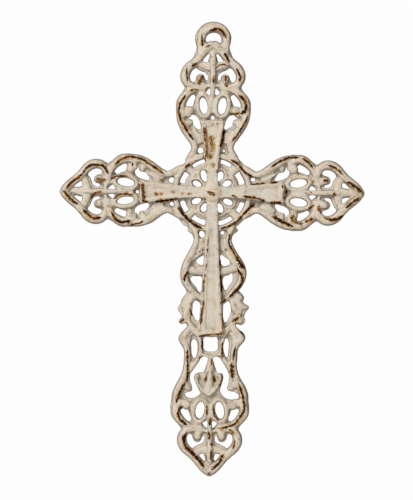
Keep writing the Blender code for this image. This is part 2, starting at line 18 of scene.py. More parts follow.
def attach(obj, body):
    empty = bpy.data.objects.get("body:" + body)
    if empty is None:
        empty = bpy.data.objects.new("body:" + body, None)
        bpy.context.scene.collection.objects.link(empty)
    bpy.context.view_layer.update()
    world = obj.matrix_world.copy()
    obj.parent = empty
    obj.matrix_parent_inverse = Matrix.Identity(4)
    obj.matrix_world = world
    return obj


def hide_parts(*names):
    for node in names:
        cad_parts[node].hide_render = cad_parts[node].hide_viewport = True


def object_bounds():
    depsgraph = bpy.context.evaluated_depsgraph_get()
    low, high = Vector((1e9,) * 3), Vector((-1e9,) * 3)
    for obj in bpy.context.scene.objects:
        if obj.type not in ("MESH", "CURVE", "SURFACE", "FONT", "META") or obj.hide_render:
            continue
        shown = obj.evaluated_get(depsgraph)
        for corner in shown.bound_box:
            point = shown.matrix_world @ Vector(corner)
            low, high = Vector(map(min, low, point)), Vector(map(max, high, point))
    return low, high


bl_info = {
    "name": "Cast iron wall cross",
    "version": (1, 0, 0),
    "blender": (4, 5, 0),
    "location": "View3D > Sidebar > Wall cross",
    "description": "Builds an openwork cast iron wall cross in worn antique white paint",
    "category": "Object",
}

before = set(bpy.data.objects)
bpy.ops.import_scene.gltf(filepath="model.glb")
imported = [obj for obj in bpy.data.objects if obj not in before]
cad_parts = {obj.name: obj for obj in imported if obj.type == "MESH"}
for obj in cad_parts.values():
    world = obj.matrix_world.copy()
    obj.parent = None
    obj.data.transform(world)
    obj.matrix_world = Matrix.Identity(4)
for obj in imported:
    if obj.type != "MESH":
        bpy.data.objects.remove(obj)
CAD_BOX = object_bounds()

MM = 0.001

# The stem, in millimetres
FOOT_DROP = 110.5        # how much further from the boss the lower finial sits than the others
FOOT_SHIFT = -0.6        # how far to the right it sits; the stem leans over to it
STEM_TOP = 31.0          # from the boss down to the top of the stem
STEM_LENGTH = 141.0      # and from there down to the lower finial

# The inner cross, the boss and the wheel
BORDER = 2.1             # half width of the raised border round the inner cross
BORDER_CROWN = 0.35      # how far the border's crown stands above its shoulders
CROWN_CORNER = 1.3       # how far inside a corner the crown turns, in half widths
CROWN_DIP = 0.2
BOSS_RADIUS = 8.4
BOSS_DOME = 1.9          # rise of the boss's domed top
DOME_SINK = 0.3          # how far the dome reaches down into the drum below it
RING_RADIUS = 31.2       # outer ring of the wheel round the boss
RING_HALF = 3.2
LOOP_RADIUS = 21.2       # inner ring of the wheel
LOOP_HALF = 1.6          # half width of the inner ring and of the loops round the petal holes

# What is cut off behind to leave the back flat
BACK_SPARE = 1.6

# The angle that each arm is turned to, and how full its wide lobe came out to the left and the
# right of it as drawn upright: the share added to its width where the lobe is widest
ARMS = {"top": 0.0, "right": -90.0, "foot": 180.0, "left": 90.0}
FULLNESS = {
    "top": (-0.04, 0.0), "right": (0.0, 0.0), "foot": (0.035, 0.035), "left": (-0.085, 0.0)}
LOBE_MIDDLE = 72.0       # from the boss out to the middle of the lobe
LOBE_SPREAD = 20.0       # and from there to where it ends

# Half of a finial's edge, from its point down to the neck: across, then outward from the boss
FINIAL_EDGE = [
    (0, 128.2), (3.5, 126.6), (8, 121.8), (13, 115.4), (18, 111), (22.5, 107), (25.8, 101.5),
    (26.8, 96.5), (25.8, 92), (24, 88.3), (25.8, 84.6), (29.3, 80), (31.4, 75.4), (32, 70),
    (31.5, 64.8)]
NECK_EDGE = [
    (29.4, 60), (26.9, 55), (23.6, 50), (20.2, 45), (17.9, 41), (17.2, 38), (18.8, 34.5),
    (20.6, 31)]

# The openings in half of a finial
TIP_HOLE = [(4.4, 115), (6.4, 113.2), (9.1, 109.6), (8.4, 107.9), (5.6, 107.9), (4.3, 110.5)]
COMMA_HOLE = [
    (14, 104.2), (17.3, 102.4), (19.2, 99), (19.2, 95.5), (18.2, 92.6), (16.4, 92.2), (14.7, 94),
    (13.8, 97), (12, 98.9), (9.8, 99.4), (7.7, 98.2), (6.7, 95.8), (5.8, 93.9), (4.6, 94.4),
    (4.2, 97), (5.6, 99.8), (8.6, 101.2), (11.8, 102.6)]

# Small holes at the necks and under the spines: across, outward, half width, half height. One did
# not come through in the mould
SMALL_HOLES = {
    "top": [(-10, 35, 2.6, 2.6), (9.7, 34.8, 1.2, 1.2), (0, 62.6, 1.8, 1.8)],
    "left": [(10, 33.8, 2.3, 2.8), (-9.9, 33.3, 1.8, 2.3), (0, 62.6, 1.5, 1.5)],
    "right": [(-10.8, 34.3, 1.7, 2.2)]}

# Strands of half of a finial: across, outward, half width
TIP_RIM = [
    (0, 124.2, 3.4), (3.6, 121.8, 3.4), (8, 117.2, 3.3), (12, 112.3, 3.3), (16.5, 108, 3.4),
    (20.5, 104.3, 3.6), (23, 99.5, 3.7), (23.1, 95, 3.6), (21.5, 91.6, 3.3), (18, 89.2, 3.0),
    (14.5, 88.2, 2.6), (11, 88.6, 2.2), (8.4, 90.8, 1.8), (7.4, 93.6, 1.4)]
SCROLL = [
    (9.5, 86, 1.6), (13, 86.3, 2.2), (17, 85.6, 2.8), (21.5, 83, 3.2), (25.3, 79, 3.6),
    (27.6, 74.5, 3.8), (27.6, 70.5, 3.4), (25.3, 67, 2.6), (22, 64.9, 2.0), (18.5, 64.4, 1.6)]

# The eye on the upper arm's point; its edge takes the place of the finial's as far as the
# finial's is the narrower
EYE_EDGE = [
    (0.3, 143.3), (7.5, 141.4), (12.2, 137), (15.2, 131), (14.8, 126), (13.8, 121), (15.2, 117)]
EYE_HOLE = [
    (-6.2, 128.4), (-5, 131.6), (-2.5, 133.5), (0.4, 134), (4, 133.3), (6.2, 131), (6.8, 127.8),
    (6.2, 125.6), (4, 126), (0.8, 127.2), (-1.6, 126.4), (-3.4, 125.2), (-5.4, 125.8)]
EYE_BAND = [
    (-11.5, 114, 2.6), (-11.2, 121, 2.8), (-11.4, 128, 3.2), (-9.6, 134.5, 3.5), (-5, 138.6, 3.6),
    (0.4, 139.9, 3.6), (6, 138.6, 3.6), (10.4, 134.5, 3.5), (12, 128, 3.2), (11.3, 121, 2.8),
    (12.2, 114, 2.6)]

# The stem between the wheel and the lower finial: across, down from the boss
STEM_EDGE_RIGHT = [
    (20.4, 29), (22, 32), (18.2, 35.4), (16.8, 39), (18, 45), (20.4, 50.5), (24.6, 57.5),
    (28, 64), (29, 70), (27.6, 76), (23.4, 82), (26.4, 85.8), (27.8, 88.8), (27, 92), (32, 96.2),
    (29.6, 100), (28, 104.4), (29, 107.8), (26, 111.2), (21.2, 111), (22, 114), (27, 117.4),
    (29.3, 122), (26.6, 127), (23.5, 131), (22.8, 138), (22.6, 150), (25.6, 156.5), (30, 163.5),
    (32.2, 170)]
STEM_EDGE_LEFT = [
    (20.4, 29), (20.2, 32.4), (16.6, 35.4), (15.2, 40), (16.5, 47), (19.4, 53), (22.6, 59),
    (25.2, 65), (25.8, 70.5), (24.6, 76.5), (20.8, 83.6), (24, 89), (26, 94), (27.9, 98),
    (25.4, 102.4), (24, 104.6), (26.8, 107.6), (25.4, 110.8), (21, 110.4), (20.4, 115),
    (24.6, 118.6), (27, 123), (24.6, 128.4), (22.4, 132), (22.3, 141), (23.4, 150),
    (26.4, 157), (30, 164), (32, 170)]
STEM_HOLES_RIGHT = [
    [(9, 32.2), (10.8, 34), (9, 35.8), (7.2, 34)],
    [(8, 52.6), (10.4, 53.8), (15.7, 59.3), (14.6, 60.6), (9, 61.5), (8, 58)],
    [(16.8, 67.8), (18, 70), (17.8, 74), (15, 78.4), (11.8, 82), (10.4, 79.5), (9.8, 72.6),
     (11.4, 70.4), (14.6, 69.4)],
    [(14, 90.2), (16, 90.6), (16.9, 94), (16.6, 101), (14.6, 106.4), (12.2, 109.2), (10.8, 106.6),
     (10.3, 97), (10.8, 92.4)],
    [(13.4, 122.4), (15, 125), (15.3, 130), (14.8, 136), (13.8, 138.7), (12, 136), (10.8, 130),
     (11.6, 125.4)]]
STEM_HOLES_LEFT = [
    [(8.4, 31.8), (6.2, 33.2), (5.9, 36.8), (7.8, 38.2), (10, 37), (10.3, 33.6)],
    [(6.6, 53.4), (8.8, 54), (13, 58.6), (11.8, 59.8), (7, 60.9), (6.3, 58)],
    [(16.6, 71), (12, 70.6), (8, 71), (7.6, 77), (7.9, 83), (9.6, 83.8), (12.6, 80),
     (16.6, 75), (17.6, 72.8)],
    [(14.6, 91.3), (11, 91.5), (9, 94), (9.1, 104), (10.6, 108), (12, 108), (14, 105),
     (16, 100), (16, 93.4)],
    [(13.6, 123.2), (15.6, 124.6), (16, 131), (15, 138), (13.6, 139.6), (12, 137.6), (10.8, 131.4),
     (11.6, 125.6)]]
SQUARE_HOLE = [
    (-5.4, 122), (0, 121.8), (5.6, 122), (6.2, 127), (5.6, 132.6), (0.4, 133.8), (-5, 132.6),
    (-5.9, 127)]
# The two openings on either side of the small fleur-de-lis
FLEUR_HOLE_RIGHT = [
    (2.2, 138.6), (6.6, 138.3), (9.6, 141), (12.4, 145.6), (15, 151), (16, 156), (15.4, 161),
    (14.6, 165.6), (18, 167.2), (22.6, 168.6), (24.4, 171), (23, 173.4), (18.6, 174),
    (14, 173.2), (11, 171), (8.8, 168.4), (8.8, 164.4), (10.2, 159.6), (11, 154.4), (9.4, 151.8),
    (6.6, 152), (4.8, 148.6), (3, 143)]
FLEUR_HOLE_LEFT = [
    (2.4, 138), (2.2, 141), (3.6, 146), (6, 151.2), (8.4, 151.4), (11.6, 152.4), (12.8, 156),
    (11.6, 161), (9.6, 165.6), (8.4, 168.8), (11.4, 171.6), (15.6, 173), (19.4, 172),
    (21.2, 169.4), (18.4, 168), (15.2, 166.6), (15.2, 163.6), (16.6, 158.4), (16.8, 154),
    (15, 149.4), (11.6, 144.4), (8.2, 139.8), (5.6, 137.8)]

# The outer edge between the arms, from the boss
CORNERS = {
    "upper right": [(22.0, 28.4), (25.4, 24.9), (29.0, 21.4)],
    "lower right": [(29.4, -19.4), (26.2, -23.4), (22.4, -27.4)],
    "lower left": [(-22.4, -28.6), (-25.8, -25.4), (-28.8, -21.6)],
    "upper left": [(-27.6, 21.8), (-24.6, 23.4), (-21.4, 26.8)]}

# More of a finial. Openings; TIP_HOLES gives those of two arms in place of TIP_HOLE
PAIR_HOLE = [
    (1.7, 88.0), (3.2, 87.0), (5.3, 84.8), (5.9, 83.2), (4.6, 82.2), (2.2, 81.5), (1.5, 82.6),
    (1.4, 86.2)]
TIP_HOLES = {
    "top": [(3.6, 117.2), (5.6, 115.2), (9.0, 109.2), (8.2, 107.9), (3.4, 107.9), (3.0, 112.6)],
    "left": [(4.4, 116.2), (6.8, 113.6), (9.8, 109.2), (9.2, 107.4), (5.4, 107.2), (4.2, 110.5)]}
D_HOLE = [
    (15.2, 80.7), (17.4, 81.9), (20.4, 80.2), (23.2, 76.6), (24, 73.2), (22.2, 71.3), (18.3, 71.5),
    (17.2, 73.5), (16.2, 76.5)]
TRIANGLE_HOLE = [
    (22.0, 64.2), (18.6, 65.0), (14.8, 64.4), (12.0, 61.4), (10.4, 57.0), (9.8, 53.6),
    (10.8, 52.6),
    (13.6, 53.8), (16.4, 56.2), (16.9, 58.6), (17.6, 60.6), (19.6, 61.4), (21.9, 62.6)]
# The two ovals: the radii of the hole and of the ring's middle, and the ring's half width
OVAL = {"centre": (8.0, 72.5), "hole": (3.5, 7.2), "ring": (5.5, 9.6), "half": 2.7, "tilt": -9.0}
# Strands and leaves as across, outward, half width
RIM = [
    (28.8, 71, 1.6), (29, 67.5, 2.4), (28, 62.5, 3.0), (25.6, 57.2, 3.3), (22.3, 52, 3.5),
    (18.8, 46.8, 3.3), (15.8, 41.5, 2.9), (14.8, 37, 2.7), (16.4, 32.8, 2.7), (19.2, 29, 2.5),
    (22, 25.6, 1.6)]
RIM_SPUR = [(26, 57.6, 3.4), (22.4, 57.8, 3.4), (19, 58.6, 2.6), (16.8, 59, 1.2)]
LEAF_VEINS = [
    [(11.6, 37, 0.8), (13.4, 43.5, 1.5), (17.2, 50, 1.8), (20.8, 55.4, 1.2)],
    [(10.6, 44, 0.8), (12.8, 49, 1.5), (15.4, 53.4, 1.0)]]
# The low leaf between a rim and the inner cross
NECK_LEAF = [(9.6, 40.8, 2.2), (10.6, 44, 3.4), (12.2, 47.4, 4.0), (14.0, 50.2, 2.2)]
STEM_NECK_LEAF = [(8.4, 38.6, 1.6), (8.9, 43, 2.6), (9.4, 47, 2.8), (9.8, 49.6, 1.4)]
CROSS_LEAF = [(0, 104.6, 4.2), (5, 105.4, 3.8), (10, 106.8, 3.2), (14.4, 108.2, 1.4)]
SPINE = [(0, 111, 0.6), (0, 106, 2.4), (0, 100, 3.2), (0, 96, 3.3), (0, 88, 3.0), (0, 78, 2.6),
         (0, 66, 1.6)]
SPINES = {
    arm: [(0, 120, 0.8), (0, 116, 3.0), (0, 110, 3.8)] + SPINE[2:] for arm in ("top", "foot")}
PETAL = [(0, 120.5, 1.0), (0, 116, 2.8), (0, 110, 4.3), (0, 105, 4.3), (0, 100, 2.6)]
# Balls that end the curls, and one where the rims meet: across, outward, radius, and rise as a
# share of the radius
BALLS = [(10.1, 94.4, 4.1, 0.95), (19.3, 68.2, 4.6, 0.8), (0, 123.4, 3.8, 0.95)]

# Half of an arm of the inner cross and of its sunk panel: across, outward. The lower arm is the
# shaft
CROSS_EDGE = [
    (4.6, 1), (4.7, 12), (5.2, 22), (6.5, 34), (8.2, 47), (9.6, 57), (9.4, 60), (4.6, 60.4)]
SHAFT_EDGE = [
    (4.6, 1), (4.7, 12), (5.2, 22), (5.6, 34), (6.7, 57), (8.2, 82), (9.6, 106), (10.3, 120),
    (5.2, 121)]
CROSS_PANEL = [(0.9, 27), (2.3, 31), (3.6, 41), (5.0, 51), (5.6, 54.4), (5.1, 55.4), (2.6, 55.5)]
SHAFT_PANEL = [
    (0.8, 31), (1.8, 35), (2.7, 42), (3.4, 60), (4.0, 88), (4.7, 112), (4.7, 114.6), (4.2, 115.3),
    (2.2, 115.4)]
# The strands under the ovals and over the pair of small openings
OVAL_TAIL = [(13.2, 74, 2.2), (12.6, 79, 2.3), (11.2, 83.5, 2.3), (9.4, 87, 2.2), (7.6, 90, 1.7)]
PAIR_LOOP = [(0, 90.5, 1.9), (4, 89.6, 2.0), (7.4, 86.8, 2.0), (7.4, 83, 1.9), (4.8, 80.6, 1.7)]
# The raised middle of the eye's band
EYE_CREST = [
    (-9.6, 116, 3.0), (-9.6, 122, 3.4), (-9.8, 128, 3.8), (-8.2, 133.4, 4.0), (-4, 137.0, 4.0),
    (0.6, 138, 4.0), (5.2, 137.0, 4.0), (9.4, 133.4, 3.9), (10.6, 128, 3.7), (9.8, 122, 3.4),
    (10.6, 116, 3.0)]

# Strands of the stem: across, down from the boss, half width
STEM_STRANDS_RIGHT = [
    [(20.6, 25.4, 1.0), (17.6, 29.4, 2.0), (15, 34, 2.3), (14.2, 40, 2.5), (15.6, 46, 2.8),
     (19, 53, 3.2), (23.4, 60, 3.3), (25.8, 66, 3.3), (25.6, 71.5, 3.2), (23.6, 76.5, 3.0),
     (20, 81.5, 2.8), (16, 86, 2.5), (12, 90, 2.2), (8.6, 93.6, 1.8)],
    [(18.6, 90, 1.6), (19.4, 94, 2.0), (20.6, 99, 2.2), (23.4, 104, 1.8), (26, 107, 1.4)],
    [(21, 108, 1.6), (17.4, 111, 2.2), (13.8, 115.4, 2.4), (11, 121, 2.0), (9, 127.4, 1.8),
     (8.8, 133, 1.8), (11, 139.4, 2.2), (14.4, 145, 2.2), (17, 150, 2.0)],
    [(18.4, 113, 2.4), (22, 118, 3.2), (25.6, 122, 3.2), (22.4, 126.4, 2.8), (20, 131, 2.8),
     (19.4, 139, 2.8), (19.6, 148, 2.8), (21.6, 155.6, 3.0), (25.2, 162.4, 3.2), (28, 170, 3.2),
     (28.9, 177, 2.4), (28.6, 181.4, 1.6)]]
STEM_STRANDS_LEFT = [
    [(20.6, 25.6, 1.0), (17, 29.5, 1.9), (13.6, 34, 2.2), (12.8, 40, 2.3), (14.6, 47, 2.7),
     (17.8, 54, 3.0), (20.8, 60.4, 3.2), (22.4, 66.4, 3.2), (22.4, 72, 3.2), (20.4, 77.4, 3.0),
     (16.8, 81.8, 2.8), (13, 85.4, 2.5), (9.6, 88.6, 2.2), (7.4, 91.4, 1.8)],
    [(14.8, 86.6, 1.6), (17.2, 91, 2.0), (18.6, 97, 2.0), (20.4, 103, 1.8), (23.6, 107.6, 1.4)],
    [(18.8, 108, 1.6), (16, 112.4, 2.4), (12.6, 117.4, 2.6), (9.8, 122, 2.0), (8.4, 127.6, 1.8),
     (8.4, 133, 1.8), (10.8, 140, 2.2), (14.4, 145.4, 2.2), (17.4, 150.4, 2.0)],
    [(18, 114, 2.2), (21.2, 119.4, 3.2), (23.6, 123, 3.0), (20.8, 128, 2.8), (19.4, 133, 2.7),
     (19.4, 142, 2.7), (20.4, 150, 2.8), (22.6, 157, 3.0), (25.6, 163, 3.2), (28, 170, 3.2),
     (28.9, 177, 2.4), (28.6, 181.4, 1.6)]]
# Leaves of the stem, which lie lower than the strands
STEM_LEAVES_RIGHT = [
    [(6.6, 66.2, 3.6), (12.4, 65.6, 3.8), (17.4, 64.4, 3.4), (22, 63.6, 2.4)],
    [(15, 88, 2.4), (19.6, 92, 3.8), (24.4, 95.4, 3.8), (30.6, 96.6, 1.2)],
    [(19, 86, 2.4), (23.4, 87.8, 3.4), (26.2, 89.6, 2.2)],
    [(18.4, 92, 3.0), (21.4, 99, 4.2), (25, 102.6, 3.0)],
    [(20, 103, 3.0), (23.6, 107, 3.2), (26.4, 108.6, 2.4)],
    [(18, 117, 3.0), (21.4, 122.2, 4.6), (19.6, 128, 2.8)],
    [(24, 157.6, 2.6), (20.6, 161, 3.2), (18, 163.8, 2.6), (16.2, 165.8, 1.2)]]
STEM_LEAVES_LEFT = [
    [(6.4, 66, 4.0), (12, 65.8, 4.3), (16.6, 65.4, 3.8), (20.6, 64.8, 2.6)],
    [(13, 87, 2.4), (18, 91.6, 3.8), (21.6, 96, 3.8), (25.6, 98.6, 2.2)],
    [(17.4, 86.6, 2.4), (20.6, 90.6, 3.0), (23.4, 94.4, 2.6)],
    [(17.8, 94, 3.0), (19.4, 101, 3.8), (21, 105, 3.2)],
    [(18.6, 103, 3.0), (22, 107.4, 3.0), (24.8, 108.8, 2.2)],
    [(17.6, 117.6, 3.0), (20.2, 122.8, 4.6), (18.8, 129, 2.8)],
    [(24.4, 158, 2.6), (21, 161.4, 3.2), (18.4, 164.2, 2.6), (16.6, 166, 1.2)]]
# The bars under the inner cross, and the small fleur-de-lis
STEM_BARS = [
    [(-9.4, 120.6, 1.6), (0, 120.4, 1.7), (9.6, 120.2, 1.6)],
    [(-9, 135.6, 1.8), (-4, 136.8, 1.8), (0.2, 138, 1.9), (4.6, 136.6, 1.8), (9.4, 135.4, 1.8)],
    [(-10.4, 152.6, 1.8), (-12, 155.4, 2.2), (-11, 159, 2.2), (-8.6, 163.4, 2.1), (-5, 167.4, 2.0),
     (-1.6, 169.8, 1.8)],
    [(7.4, 152.6, 1.8), (8.8, 155.4, 2.1), (7.8, 159, 2.1), (5.6, 163.4, 2.0), (2.2, 167.4, 2.0),
     (-1.4, 169.8, 1.8)]]
FLEUR_SPEAR = [
    (0.2, 138.6, 1.8), (0, 144, 3.2), (-0.6, 151, 4.6), (-0.9, 158, 4.2), (-1.2, 165, 3.8),
    (-1.6, 171, 2.8)]
FLEUR_BALLS = [(-10.8, 154.0, 2.9), (7.8, 153.8, 2.7)]
# Thin veins on the leaves of the stem
STEM_VEINS_RIGHT = [
    [(7.4, 45, 0.9), (11.6, 51, 1.4), (16.4, 57.4, 1.6), (20.6, 62.6, 1.4)],
    [(14.4, 88.4, 1.0), (20, 92.4, 1.5), (26, 95.6, 1.2)]]
STEM_VEINS_LEFT = [
    [(6.8, 39, 0.8), (10.6, 43.6, 1.2), (14.4, 48.6, 1.3), (17.8, 54.4, 1.2)],
    [(6.4, 44, 0.8), (9.8, 47.8, 1.2), (13.4, 52, 1.3), (18.4, 58.6, 1.2)],
    [(7, 50.2, 0.9), (10.4, 52.4, 1.2), (13.9, 55.2, 1.4), (18.4, 60.6, 1.4)],
    [(12.8, 87.4, 1.0), (17.6, 91.8, 1.5), (22, 96.4, 1.2)]]

# The wheel round the boss. Slots: radius, first and last angle, half width
SLOTS = [
    (25.9, 16.6, 39.0, 2.3), (27.0, 56.0, 73.5, 1.7), (26.9, 104.3, 126.0, 1.5),
    (26.4, 143.8, 162.0, 2.1), (26.2, 198.0, 216.0, 2.1), (26.2, 231.0, 257.0, 2.0),
    (26.8, 283.0, 308.0, 1.8), (26.9, 324.0, 340.3, 2.0)]
# Petal holes: across and up from the boss, half length, half width, angle of the long axis
PETAL_HOLES = [
    (12.2, 7.4, 4.3, 2.6, 15), (6.5, 13.0, 4.8, 2.8, 73), (-6.9, 13.8, 5.4, 2.6, 106),
    (-12.6, 6.9, 4.0, 2.4, 153), (-13.1, -7.4, 4.3, 2.6, 202), (-6.2, -12.7, 4.2, 2.8, 236),
    (6.6, -13.4, 4.4, 2.7, 292), (13.3, -8.1, 4.3, 2.6, 335)]
# A soft knot on each diagonal: distance from the boss, half width
KNOT = [(18.6, 2.0), (22.4, 3.0), (26.4, 3.6), (30, 3.4)]

# Halves of the sections of a rounded strand and of a flat leaf, for a half width of one
RIDGE = [
    (0.8, -1), (0.96, -0.4), (1, 0.0), (0.93, 0.34), (0.77, 0.62), (0.53, 0.82), (0.27, 0.93),
    (0.08, 0.96)]
LEAF = [(1, -1), (1, -0.12), (0.92, 0.04), (0.74, 0.17), (0.48, 0.28), (0.22, 0.36), (0.06, 0.38)]
# How far above the level of the main strands the others start
RISES = {
    "spine": 1.2, "leaf": 0.6, "neck leaf": 0.4, "vein": 0.5, "loop": 0.2, "knot": -0.5,
    "eye band": -0.4, "eye crest": -0.6}
# How much wider the outer rims are than their tables say, to slope right down to the edge
RIM_WIDTH = 1.3
# Half width and depth of the groove round an oval ring
RING_GROOVE = (0.8, 1.1)

